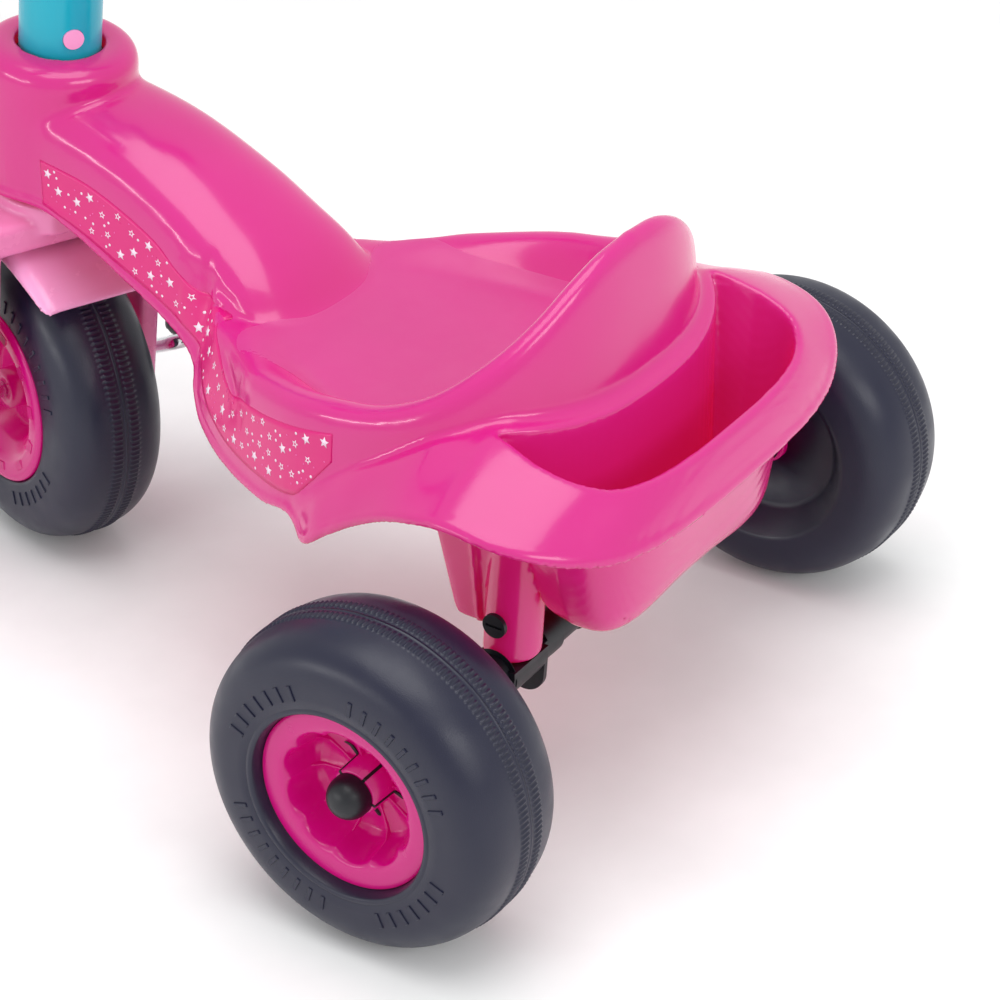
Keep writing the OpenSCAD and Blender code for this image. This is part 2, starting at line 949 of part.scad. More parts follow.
module grip_form() {
    color(pink)
        turned()
            translate(shoulder_at + [grip_gap, 0, 0])
                along_x()
                    difference() {
                        union() {
                            cylinder(r = grip_r + 4, h = 4, $fn = fine);
                            cylinder(r = grip_r, h = grip_l - grip_gap, $fn = fine);
                        }
                        translate([0, 0, -1])
                            cylinder(r = bar_r + 0.2, h = grip_l - grip_gap - 2, $fn = fine);
                    }
}

module grip_left() {
    grip_form();
}

module grip_right() {
    color(pink)
        turned()
            translate([-shoulder_at[0] - grip_gap, shoulder_at[1], shoulder_at[2]])
                rotate([0, -90, 0])
                    difference() {
                        union() {
                            cylinder(r = grip_r + 4, h = 4, $fn = fine);
                            cylinder(r = grip_r, h = grip_l - grip_gap, $fn = fine);
                        }
                        translate([0, 0, -1])
                            cylinder(r = bar_r + 0.2, h = grip_l - grip_gap - 2, $fn = fine);
                    }
}

module stem_screw() {
    color(steel)
        turned()
            across_stem() {
                translate([0, 0, -stem_r + 1])
                    cylinder(r = 2.5, h = 2 * stem_r - 4, $fn = coarse);
                translate([0, 0, stem_r - 4])
                    cylinder(r = 2.5, h = 2, $fn = coarse);
            }
}

module stem_screw_cap() {
    color(pink)
        turned()
            across_stem()
                translate([0, 0, stem_r - 1.9])
                    cylinder(r = 6, h = 2.6, $fn = coarse);
}

// ---------- Front wheel ----------

front_r = front_tyre_d / 2;
front_hw = front_tyre_w / 2;
front_seat = 57.4;
front_web = 10;
module front_tyre() {
    color(tyre_black)
        at_front_axle()
            along_x()
                rotate_extrude($fn = fine)
                    polygon(concat(
                        [
                            [14, -front_web], [48, -front_web], [48, 3 - front_hw],
                            [front_seat, 3 - front_hw], [front_seat, -front_hw]
                        ],
                        shoulder(67, front_r, front_hw),
                        [
                            [front_seat, front_hw], [front_seat, front_hw - 3],
                            [48, front_hw - 3], [48, front_web], [14, front_web]
                        ]
                    ));
}

module front_hub_form() {
    rotate_extrude($fn = fine)
        polygon([
            [crank_r + slip, 0.2], [13.6, 0.2], [13.6, front_web + 0.3],
            [47.6, front_web + 0.3], [47.6, front_hw - 2.7], [57, front_hw - 2.7],
            [57, front_hw + 0.5], [54, front_hw + 1.5], [44, front_hw + 0.5],
            [36, front_hw - 4], [30, front_web + 3.3], [14, front_web + 3.3],
            [12, front_hw - 6], [crank_r + slip, front_hw - 6]
        ]);
}

module front_hub() {
    color(pink)
        at_front_axle()
            along_x() {
                front_hub_form();
                mirror([0, 0, 1])
                    front_hub_form();
            }
}

arm_x = 70;
pin_end = 154;
module crank_arm(side) {
    elbow = [side * arm_x, 0, 0];
    toe = elbow + crank_throw * [0, -side * cos(crank_angle), -side * sin(crank_angle)];
    bar([0, 0, 0], elbow, crank_r);
    translate(elbow)
        sphere(r = crank_r, $fn = coarse);
    bar(elbow, toe, crank_r);
    translate(toe)
        sphere(r = crank_r, $fn = coarse);
    bar(toe, toe + [side * (pin_end - arm_x), 0, 0], crank_r);
}

module crank() {
    color(steel)
        at_front_axle() {
            crank_arm(1);
            crank_arm(-1);
        }
}

module at_pedal(side) {
    at_front_axle()
        translate(crank_throw * [0, -side * cos(crank_angle), -side * sin(crank_angle)])
            children();
}

pedal_in = 78;
pedal_out = 149;
pedal_half = 30;
pedal_t = 20;
module pedal(side) {
    color(black)
        at_pedal(side)
            translate([side * (pedal_in + pedal_out) / 2, 0, 0])
                difference() {
                    translate([0, 0, -pedal_t / 2])
                        rounded_plate((pedal_out - pedal_in) / 2, pedal_half, pedal_t, 8);
                    along_x()
                        cylinder(r = crank_r + run_fit, h = 200, center = true, $fn = fine);
                }
}

module pedal_left() {
    pedal(1);
}

module pedal_right() {
    pedal(-1);
}

module pedal_cap(side) {
    color(black)
        at_pedal(side)
            rotate([0, 90 * side, 0])
                difference() {
                    translate([0, 0, pedal_out + 0.6])
                        cylinder(r = 9, h = 6, $fn = fine);
                    cylinder(r = crank_r + slip, h = pin_end + 0.4, $fn = fine);
                }
}

module pedal_cap_left() {
    pedal_cap(1);
}

module pedal_cap_right() {
    pedal_cap(-1);
}

body_shell();
side_sticker_left();
side_sticker_right();
head_bush_upper();
head_bush_lower();
rear_axle_beam();
rear_axle_rod();
leg_pins();
rear_tyre_left();
rear_tyre_right();
rear_hub_left();
rear_hub_right();
axle_cap_left();
axle_cap_right();
fork();
front_fender();
fender_screws();
steering_stem();
handlebar();
grip_left();
grip_right();
stem_screw();
stem_screw_cap();
fork_bush_left();
fork_bush_right();
front_tyre();
front_hub();
crank();
pedal_left();
pedal_right();
pedal_cap_left();
pedal_cap_right();
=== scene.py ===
import json
import math

import bpy
import numpy as np
from mathutils import Matrix, Vector
from mathutils.bvhtree import BVHTree


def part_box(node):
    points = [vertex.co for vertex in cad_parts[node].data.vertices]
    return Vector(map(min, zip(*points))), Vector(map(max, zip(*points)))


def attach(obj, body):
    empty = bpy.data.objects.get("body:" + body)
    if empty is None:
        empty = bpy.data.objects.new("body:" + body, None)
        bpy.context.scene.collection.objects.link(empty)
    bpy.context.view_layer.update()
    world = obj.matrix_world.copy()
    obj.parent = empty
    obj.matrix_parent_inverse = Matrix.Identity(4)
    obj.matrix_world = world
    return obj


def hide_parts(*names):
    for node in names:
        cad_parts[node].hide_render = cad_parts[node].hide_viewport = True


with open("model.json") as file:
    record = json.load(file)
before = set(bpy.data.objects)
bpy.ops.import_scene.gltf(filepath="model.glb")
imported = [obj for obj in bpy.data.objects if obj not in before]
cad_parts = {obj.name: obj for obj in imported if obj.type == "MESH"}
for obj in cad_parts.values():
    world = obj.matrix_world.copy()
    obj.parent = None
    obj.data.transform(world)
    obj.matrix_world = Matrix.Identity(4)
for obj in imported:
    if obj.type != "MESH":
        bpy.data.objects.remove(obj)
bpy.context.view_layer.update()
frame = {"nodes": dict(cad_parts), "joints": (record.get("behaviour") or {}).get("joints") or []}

SCENE = bpy.context.scene
MM = 0.001
RNG = np.random.default_rng(7)


# ---------- Places and axes, from the frame ----------

def centre(node):
    """Middle of a CAD node's box, in millimetres."""
    low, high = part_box(node)
    return np.array((low + high) / 2) / MM


JOINTS = {joint["name"]: joint for joint in frame["joints"]}
AXLE = centre("rear_axle_rod")
STEER_AXIS = np.array(JOINTS["steer"]["axis"])
WHEEL_POINT = np.array(JOINTS["front_wheel_spin"]["pos_m"]) / MM
WHEEL_AXIS = np.array(JOINTS["front_wheel_spin"]["axis"])
STEER_BACK = np.cross(STEER_AXIS, WHEEL_AXIS)
FORK_OFFSET = 11
WHEEL_DROP = 1.05
STEER_ORIGIN = WHEEL_POINT + STEER_BACK * FORK_OFFSET + STEER_AXIS * WHEEL_DROP


def basis(x, y, z, origin):
    """Matrix from a local frame to the world, both in millimetres."""
    m = np.eye(4)
    m[:3, 0], m[:3, 1], m[:3, 2], m[:3, 3] = x, y, z, origin
    return m


STEERING = basis(WHEEL_AXIS, STEER_BACK, STEER_AXIS, STEER_ORIGIN)
BODY = basis((1, 0, 0), (0, 1, 0), (0, 0, 1), (0, AXLE[1], 0))
HEAD_BACK = np.cross(STEER_AXIS, (1, 0, 0))
HEAD = basis((1, 0, 0), HEAD_BACK, STEER_AXIS, STEER_ORIGIN)
# Wheel frames: Z is the axle's outward direction
FRONT_WHEEL = basis(STEER_BACK, STEER_AXIS, WHEEL_AXIS, WHEEL_POINT)
SIDES = (("left", 1), ("right", -1))
REAR_WHEEL = {
    side: basis((0, 1, 0), (0, 0, 1), (1, 0, 0), centre(f"rear_tyre_{side}")) @ np.diag([1, 1, sign, 1])
    for side, sign in SIDES
}


# ---------- Curves and smooth joins of shapes ----------

def curve(points, value):
    """Smooth curve through a few (value, result) points."""
    table = np.asarray(points, float)
    x, y = table[:, 0], table[:, 1]
    last = len(x) - 1
    before = np.maximum(np.arange(last + 1) - 1, 0)
    after = np.minimum(np.arange(last + 1) + 1, last)
    slope = (y[after] - y[before]) / (x[after] - x[before])
    v = np.clip(value, x[0], x[-1])
    i = np.clip(np.searchsorted(x, v, side="right") - 1, 0, last - 1)
    h = x[i + 1] - x[i]
    s = (v - x[i]) / h
    start = y[i] * (1 + 2 * s) * (1 - s) ** 2 + slope[i] * h * s * (1 - s) ** 2
    end = y[i + 1] * s * s * (3 - 2 * s) - slope[i + 1] * h * s * s * (1 - s)
    return start + end


def ease(low, high, value):
    """Rises smoothly from 0 at low to 1 at high."""
    t = np.clip((value - low) / (high - low), 0, 1)
    return t * t * (3 - 2 * t)


def soft_max(a, b, radius):
    """Intersection of two distance fields, with a rounded edge."""
    h = np.clip(0.5 + 0.5 * (a - b) / radius, 0, 1)
    return b + (a - b) * h + radius * h * (1 - h)


def soft_min(a, b, radius):
    """Union of two distance fields, with a filleted join."""
    return -soft_max(-a, -b, radius)


# ---------- Meshes ----------

def add_mesh(name, points, faces, place, body, material, replaces=(), smooth=True):
    """Adds a piece from points in millimetres, placed by a frame matrix."""
    place = np.asarray(place, float)
    world = (np.asarray(points, float) @ place[:3, :3].T + place[:3, 3]) * MM
    faces = [tuple(int(i) for i in f) for f in faces]
    if np.linalg.det(place[:3, :3]) < 0:
        faces = [f[::-1] for f in faces]
    mesh = bpy.data.meshes.new(name)
    mesh.from_pydata(world.tolist(), [], faces)
    mesh.validate()
    mesh.update()
    mesh.polygons.foreach_set("use_smooth", [smooth] * len(mesh.polygons))
    piece = bpy.data.objects.new(name, mesh)
    SCENE.collection.objects.link(piece)
    mesh.materials.append(material)
    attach(piece, body)
    if replaces:
        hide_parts(*replaces)
    return piece


def grid_frame(xs, ys, zs):
    """First corner and pitch of a sampling grid."""
    return np.array([xs[0], ys[0], zs[0]]), np.array([xs[1] - xs[0], ys[1] - ys[0], zs[1] - zs[0]])


def surface_nets(xs, ys, zs, f):
    """Closed quad mesh of the surface where the sampled field f is zero."""
    inside = f < 0
    nx, ny, nz = f.shape
    some = np.zeros((nx - 1, ny - 1, nz - 1), bool)
    every = np.ones_like(some)
    for i, j, k in np.ndindex(2, 2, 2):
        part = inside[i:nx - 1 + i, j:ny - 1 + j, k:nz - 1 + k]
        some |= part
        every &= part
    active = some & ~every
    cells = np.argwhere(active)
    ids = np.full(active.shape, -1, np.int64)
    ids[active] = np.arange(len(cells))
    total, count = np.zeros((len(cells), 3)), np.zeros(len(cells))
    for axis in range(3):
        others = [b for b in range(3) if b != axis]
        step = np.eye(3, dtype=int)[axis]
        for a, b in np.ndindex(2, 2):
            offset = np.zeros(3, int)
            offset[others[0]], offset[others[1]] = a, b
            p = cells + offset
            q = p + step
            f0, f1 = f[tuple(p.T)], f[tuple(q.T)]
            crossed = (f0 < 0) != (f1 < 0)
            t = f0[crossed] / (f0[crossed] - f1[crossed])
            total[crossed] += offset + t[:, None] * step
            count[crossed] += 1
    corner, pitch = grid_frame(xs, ys, zs)
    points = corner + (cells + total / count[:, None]) * pitch
    quads = []
    for axis in range(3):
        b, c = [(1, 2), (2, 0), (0, 1)][axis]
        low, high = [slice(None)] * 3, [slice(None)] * 3
        low[axis], high[axis] = slice(0, -1), slice(1, None)
        starts = inside[tuple(low)]
        edges = np.argwhere(starts != inside[tuple(high)])
        quad = []
        for db, dc in ((-1, -1), (0, -1), (0, 0), (-1, 0)):
            p = edges.copy()
            p[:, b] += db
            p[:, c] += dc
            quad.append(ids[tuple(p.T)])
        quad = np.stack(quad, 1)
        out = ~starts[tuple(edges.T)]
        quad[out] = quad[out][:, ::-1]
        quads.append(quad)
    return points, np.concatenate(quads)


def sample(f, xs, ys, zs, points):
    """Field f between its samples, at points."""
    corner, pitch = grid_frame(xs, ys, zs)
    at = (points - corner) / pitch
    low = np.clip(np.floor(at).astype(int), 0, np.array(f.shape) - 2)
    t = at - low
    value = 0
    for i, j, k in np.ndindex(2, 2, 2):
        weight = (t[:, 0] if i else 1 - t[:, 0]) * (t[:, 1] if j else 1 - t[:, 1])
        weight = weight * (t[:, 2] if k else 1 - t[:, 2])
        value = value + weight * f[low[:, 0] + i, low[:, 1] + j, low[:, 2] + k]
    return value


def local_gradient(f, xs, ys, zs, points):
    """Gradient of the sampled field inside each point's own cell."""
    pitch = xs[1] - xs[0]
    step = 0.25 * pitch
    parts = []
    for axis in range(3):
        shift = np.eye(3)[axis] * step
        ahead, behind = sample(f, xs, ys, zs, points + shift), sample(f, xs, ys, zs, points - shift)
        parts.append((ahead - behind) / (2 * step))
    return np.stack(parts, 1)


SMOOTHING, SWELLING = 0.5, -0.52


def relax(points, quads, rounds):
    """Evens out a quad mesh, keeping its volume."""
    pairs = np.concatenate([quads[:, [k, (k + 1) % 4]] for k in range(4)])
    count = np.bincount(pairs[:, 0], minlength=len(points))[:, None]
    for weight in [SMOOTHING, SWELLING] * rounds:
        total = np.stack([np.bincount(pairs[:, 0], points[pairs[:, 1], a], len(points)) for a in range(3)], 1)
        points = points + weight * (total / np.maximum(count, 1) - points)
    return points


def field_mesh(xs, ys, zs, f):
    """Points and quads of a field's zero surface."""
    pitch = xs[1] - xs[0]
    for axis in range(3):
        for end in (0, -1):
            border = [slice(None)] * 3
            border[axis] = end
            f[tuple(border)] = np.maximum(f[tuple(border)], 0.1 * pitch)
    points, quads = surface_nets(xs, ys, zs, f)
    points = relax(points, quads, 2)
    for _ in range(2):
        g = local_gradient(f, xs, ys, zs, points)
        move = (sample(f, xs, ys, zs, points) / np.maximum((g ** 2).sum(1), 0.25))[:, None] * g
        points = points - np.clip(move, -0.3 * pitch, 0.3 * pitch)
    return relax(points, quads, 1), quads


def grid_axes(low, high, pitch):
    """Sample positions that cover a box, with room round it."""
    return [np.arange(a - 2 * pitch, b + 3 * pitch, pitch) for a, b in zip(low, high)]


def sculpt(name, field, low, high, pitch, place, body, material, replaces=()):
    """A piece whose surface is the zero of a field function of local x, y and z."""
    xs, ys, zs = grid_axes(low, high, pitch)
    x, y, z = xs[:, None, None], ys[None, :, None], zs[None, None, :]
    f = field(x, y, z) + np.zeros((len(xs), len(ys), len(zs)))
    points, quads = field_mesh(xs, ys, zs, f)
    return add_mesh(name, points, quads, place, body, material, replaces)


def ring_faces(rows, columns, closed_rows=False):
    """Quads of a grid whose columns run all the way round."""
    row = np.arange(rows if closed_rows else rows - 1)
    column = np.arange(columns)
    r, c = np.meshgrid(row, column, indexing="ij")
    r2, c2 = (r + 1) % rows, (c + 1) % columns
    quads = np.stack([r * columns + c, r * columns + c2, r2 * columns + c2, r2 * columns + c], -1)
    return quads.reshape(-1, 4)


def side_faces(base, n):
    """Quads between two rings of n points that follow each other from base."""
    return [(base + j, base + n + j, base + n + (j + 1) % n, base + (j + 1) % n) for j in range(n)]


def lathe(profile, columns, radius_change=None, closed=True):
    """Grid of a closed (radius, height) profile turned round Z."""
    profile = np.asarray(profile, float)
    angle = np.linspace(0, 2 * np.pi, columns, endpoint=False)
    radius = np.repeat(profile[:, :1], columns, 1)
    height = np.repeat(profile[:, 1:], columns, 1)
    if radius_change is not None:
        radius, height = radius_change(radius, height, angle)
    points = np.stack([radius * np.cos(angle), radius * np.sin(angle), height], -1).reshape(-1, 3)
    return points, ring_faces(len(profile), columns, closed)[:, ::-1]


# ---------- Materials ----------

def set_inputs(node, values):
    """Sets a node's unlinked inputs."""
    for name, value in values.items():
        node.inputs[name].default_value = value


def shader(name, colour, roughness):
    """A new material, its nodes, its links and its shader."""
    material = bpy.data.materials.new(name)
    material.use_nodes = True
    nodes, links = material.node_tree.nodes, material.node_tree.links
    surface = nodes["Principled BSDF"]
    set_inputs(surface, {"Base Color": (*colour, 1), "Roughness": roughness})
    return material, nodes, links, surface


def noise(nodes, links, coordinates, scale, detail=3.0):
    texture = nodes.new("ShaderNodeTexNoise")
    set_inputs(texture, {"Scale": scale, "Detail": detail})
    links.new(coordinates.outputs["Object"], texture.inputs["Vector"])
    return texture


def ramp(nodes, links, source, low, high, start=0.3, end=0.7):
    """Maps a texture to a range of numbers or of colours."""
    node = nodes.new("ShaderNodeValToRGB")
    node.color_ramp.elements[0].position = start
    node.color_ramp.elements[1].position = end
    for element, value in zip(node.color_ramp.elements, (low, high)):
        element.color = (*value, 1) if hasattr(value, "__len__") else (value, value, value, 1)
    links.new(source.outputs[0], node.inputs["Fac"])
    return node


def shade(colour, factor):
    return tuple(min(c * factor, 1.0) for c in colour)


def moulded(
    name, colour, roughness, rough_spread=0.05, grain=0.06, grain_scale=900.0, coat=0.0, glow=0.0, painted_glow=None,
):
    """Moulded plastic: uneven gloss, faint flow marks in the colour, a fine skin, and an optional painted
    glow.
    """
    material, nodes, links, surface = shader(name, colour, roughness)
    coordinates = nodes.new("ShaderNodeTexCoord")
    flow = noise(nodes, links, coordinates, 9.0, 4.0)
    tone = ramp(nodes, links, flow, shade(colour, 0.95), shade(colour, 1.04))
    links.new(tone.outputs["Color"], surface.inputs["Base Color"])
    wear = noise(nodes, links, coordinates, 60.0, 6.0)
    gloss = ramp(nodes, links, wear, max(roughness - rough_spread, 0.02), roughness + rough_spread)
    links.new(gloss.outputs["Color"], surface.inputs["Roughness"])
    # A fine skin first, then a slow swell on top of it
    normal = None
    for scale, detail, distance in ((grain_scale, 2.0, 0.0003), (45.0, 1.0, 0.001)):
        bump = nodes.new("ShaderNodeBump")
        set_inputs(bump, {"Strength": grain, "Distance": distance})
        links.new(noise(nodes, links, coordinates, scale, detail).outputs[0], bump.inputs["Height"])
        if normal is not None:
            links.new(normal, bump.inputs["Normal"])
        normal = bump.outputs["Normal"]
    links.new(normal, surface.inputs["Normal"])
    set_inputs(surface, {"Coat Weight": coat, "Coat Roughness": 0.08})
    if glow:
        set_inputs(surface, {"Subsurface Weight": glow, "Subsurface Radius": (0.006, 0.002, 0.003)})
    # Painted glow: a red emission that lifts the plastic's shaded sides, though the plastic gives off no
    # light
    if painted_glow:
        set_inputs(surface, {"Emission Color": (*painted_glow, 1), "Emission Strength": 1.0})
    return material


def metal(name, colour, roughness, scratch_scale):
    """Plated steel with faint lengthwise polishing marks."""
    material, nodes, links, surface = shader(name, colour, roughness)
    set_inputs(surface, {"Metallic": 1.0})
    coordinates = nodes.new("ShaderNodeTexCoord")
    marks = noise(nodes, links, coordinates, scratch_scale, 6.0)
    gloss = ramp(nodes, links, marks, roughness * 0.6, roughness * 1.5)
    links.new(gloss.outputs["Color"], surface.inputs["Roughness"])
    tone = ramp(nodes, links, marks, shade(colour, 0.9), shade(colour, 1.05))
    links.new(tone.outputs["Color"], surface.inputs["Base Color"])
    return material


# Painted glow colours: red emission that brightens the shade on the pink body, the seat pan, the hubs and the
# sticker
PAINTED_GLOW = (0.20, 0.001, 0.0)
PINK = moulded("pink_plastic", (0.43, 0.012, 0.21), 0.2, 0.04, 0.04, coat=0.25, glow=0.08, painted_glow=PAINTED_GLOW)
HUB_PINK = moulded(
    "hub_pink_plastic", (0.36, 0.002, 0.15), 0.24, 0.04, 0.05, glow=0.05, painted_glow=(0.20, 0.0, 0.035),
)
FORK_PINK = moulded("fork_pink_plastic", (0.84, 0.24, 0.50), 0.26, 0.05, 0.05, coat=0.2)
POCKET_PINK = moulded("pocket_pink_plastic", (0.55, 0.0, 0.17), 0.4, 0.05, 0.05)
LIGHT_PINK = moulded("light_pink_plastic", (0.90, 0.38, 0.66), 0.24, 0.05, 0.04, coat=0.2, glow=0.08)
CYAN = moulded("cyan_plastic", (0.0, 0.38, 0.50), 0.24, 0.04, 0.04, glow=0.05)
RUBBER = moulded("tyre_plastic", (0.006, 0.007, 0.026), 0.37, 0.07, 0.25, 1500.0)
BLACK = moulded("black_plastic", (0.003, 0.004, 0.008), 0.42, 0.08, 0.12, 1200.0)
# Painted shade for the rear hubs' slots
PAINTED_SHADE = moulded("painted_slot_shade", (0.01, 0.006, 0.008), 0.6, 0.05, 0.1)
STICKER = moulded("sticker_magenta", (0.50, 0.0, 0.17), 0.3, 0.03, 0.02, coat=0.1, painted_glow=(0.16, 0.0, 0.0))
STAR = moulded("sticker_star", (0.86, 0.68, 0.80), 0.3, 0.03, 0.02)
STAR_PALE = moulded("sticker_star_pale", (0.80, 0.12, 0.40), 0.3, 0.03, 0.02)
PAN_PINK = moulded("seat_pan_plastic", (0.42, 0.035, 0.23), 0.42, 0.06, 0.16, 1400.0, glow=0.08, painted_glow=PAINTED_GLOW)
CHROME = metal("chrome_plate", (0.82, 0.83, 0.85), 0.12, 300.0)
ZINC = metal("zinc_plate", (0.62, 0.63, 0.65), 0.3, 500.0)


# ---------- Body, its lines measured forwards (-) and backwards (+) from the rear axle ----------

# Height of the lower edge
SKIRT_LINE = [
    (-420, 250), (-382, 250), (-350, 247), (-323, 238), (-290, 222), (-259, 207), (-239, 197),
    (-227, 187), (-219, 177), (-206, 169), (-179, 162.5), (-140, 161), (-116, 165), (-96, 160),
    (-75, 174), (-56, 187), (-33, 200), (-12, 208), (7, 212), (28, 210), (52, 204), (69, 196),
    (80, 189), (95, 184),
]
# Half width of the wall from the head to the seat
WALL_LINE = [
    (-420, 44), (-365, 45), (-330, 47), (-300, 49), (-266, 52), (-245, 56), (-230, 63),
    (-220, 73), (-206, 84), (-179, 99.5), (-140, 117.5), (-116, 126), (-95, 130), (-75, 131),
]
# Half width of the neck's rounded top, and height of its spine
NECK_LINE = [(-420, 44), (-365, 45), (-330, 47), (-300, 49), (-266, 51), (-220, 54), (-190, 57), (-150, 50)]
SPINE_LINE = [
    (-420, 317), (-365, 317), (-329, 312), (-290, 301), (-248, 281), (-220, 264), (-197, 247),
    (-180, 229), (-165, 207), (-150, 190),
]
# Height of the seat's edge against the angle from the middle of its back
CREST_LINE = [
    (0, 311), (20, 308), (35, 299), (48, 285), (62, 268), (77, 250), (92, 239), (108, 234),
    (124, 229), (141, 225), (180, 222),
]
# Height of the wall's top beside the neck, and of the pan
SHOULDER_LINE = [(-262, 236), (-250, 235), (-233, 231), (-212, 224), (-190, 214), (-175, 208), (-160, 203)]
PAN_LINE = [(-230, 222), (-185, 221), (-150, 215), (-100, 209), (-60, 209), (-30, 213), (40, 220)]
# Half width of the rear flange, height of its inner edge, and half width of the basket's mouth
FLANGE_LINE = [
    (-120, 122), (-116, 126), (-94, 145), (-75, 149), (-56, 152), (-33, 157), (-12, 162), (7, 165),
]
FLANGE_CREST = [
    (-120, 160), (-116, 167), (-95, 186), (-70, 205), (-51, 217), (-23, 233), (0, 240),
    (11, 239), (28, 234), (45, 229), (57, 225), (68, 220), (85, 216),
]
MOUTH_LINE = [(-20, 106), (0, 107), (30, 113)]
SEAT_Y, SEAT_MID, SEAT_END, SEAT_HALF, SEAT_POWER = -60, -75, 33, 131, 2.4
FLANGE_MID, FLANGE_HALF, FLANGE_DEPTH = 7, 165, 83
MOUTH_MID, MOUTH_HALF, MOUTH_DEPTH = 30, 113, 52
OVAL = 3.0
NECK_POWER, NECK_DROP = 2.6, 46
WALL = 3.8
LEAN_FOOT, LEAN_RISE = 185, 42
MOUTH_Z, FLOOR_Z, FLOOR_UNDER = 239, 121, 118
BASKET_TAPER, BASKET_LEAN = 0.24, 0.04


def inside_outline(x, y, side_line, middle, half, depth, power):
    """Distance inside a plan outline with given sides and a superelliptic end."""
    x, ahead = np.abs(x), np.minimum(y, middle)
    width = curve(side_line, ahead)
    lean = (curve(side_line, np.minimum(y + 1, middle)) - curve(side_line, ahead - 1)) / 2
    side = (width - x) / np.sqrt(1 + lean ** 2)
    u, t = np.maximum(x, 1e-3) / half, np.maximum(y - middle, 0) / depth
    g = np.maximum(u ** power + t ** power, 1e-9) ** (1 / power)
    gx = u ** (power - 1) / half * g ** (1 - power)
    gy = t ** (power - 1) / depth * g ** (1 - power)
    end = np.minimum((1 - g) / np.sqrt(gx ** 2 + gy ** 2 + 1e-9), 200)
    return np.where(y < middle, side, end)


def inside_seat(x, y):
    return inside_outline(x, y, WALL_LINE, SEAT_MID, SEAT_HALF, SEAT_END - SEAT_MID, SEAT_POWER)


def inside_flange(x, y):
    return inside_outline(x, y, FLANGE_LINE, FLANGE_MID, FLANGE_HALF, FLANGE_DEPTH, OVAL)


def inside_mouth(x, y):
    return inside_outline(x, y, MOUTH_LINE, MOUTH_MID, MOUTH_HALF, MOUTH_DEPTH, OVAL)


def lean_in(y):
    """How steeply the wall leans inwards where the neck widens into the seat."""
    return 0.27 * ease(-245, -215, y) * (1 - ease(-195, -150, y))


def seat_top(x, y):
    """Height of the seat: a rolled edge, then a slope down to the pan."""
    e = np.maximum(inside_seat(x, y) - lean_in(y) * LEAN_RISE, 0)
    angle = np.degrees(np.arctan2(np.abs(x), y - SEAT_Y))
    side, pan = curve(SHOULDER_LINE, y), curve(PAN_LINE, y)
    crest = np.maximum(curve(CREST_LINE, angle), side + 1)
    back = 1 - ease(35, 95, angle)
    edge, fall, slope = 15 + 3 * back, np.minimum(20 + 42 * back, crest - side), 32 + 8 * back
    k = 1 - np.minimum(e, edge) / edge
    rolled = crest - fall * (1 - np.sqrt(np.clip(1 - k * k, 0, 1)))
    dish = pan + (crest - pan) * (1 - ease(0, 1, (e - edge) / slope))
    return np.where(e < edge, rolled, dish)


def neck_top(x, y):
    """Height of the neck, a rounded box in section."""
    width = curve(NECK_LINE, y)
    t = np.clip(np.abs(x) / width, 0, 1)
    beyond = np.maximum(np.abs(x) - width, 0)
    flank = 1 - np.clip(1 - t ** NECK_POWER, 0, 1) ** (1 / NECK_POWER)
    return curve(SPINE_LINE, y) - NECK_DROP * flank - beyond


def seat_part(x, y):
    """Height of the seat, which sinks out of sight ahead of its shoulder."""
    near = ease(-285, -262, y)
    return seat_top(x, y) * near + 180 * (1 - near)


def neck_root(x, y):
    """The neck's top, with its flanks eased where they run out onto the seat."""
    spread = 4.5 * ease(-252, -222, y)
    return (neck_top(x - spread, y) + 2 * neck_top(x, y) + neck_top(x + spread, y)) / 4


def tub_top(x, y):
    return soft_max(seat_part(x, y), neck_root(x, y), 9)


def flange_top(x, y):
    """Height of the flange, which falls from the mouth or the seat to its rim."""
    aft = ease(-25, 5, y)
    out = np.maximum(inside_flange(x, y), 0)
    off = aft * np.maximum(-inside_mouth(x, y), 0) + (1 - aft) * np.maximum(-inside_seat(x, y) - 1, 0)
    u = off / (off + out + 1e-6)
    low, high = curve(SKIRT_LINE, y) + 4, curve(FLANGE_CREST, y)
    return low + (high - low) * (1 - u ** 1.25)


def steepness(height, x, y):
    """How much longer a height field's surface is than its plan."""
    e = 0.5
    dx = height(x + e, y) - height(x - e, y)
    dy = height(x, y + e) - height(x, y - e)
    return np.sqrt(1 + dx ** 2 + dy ** 2)


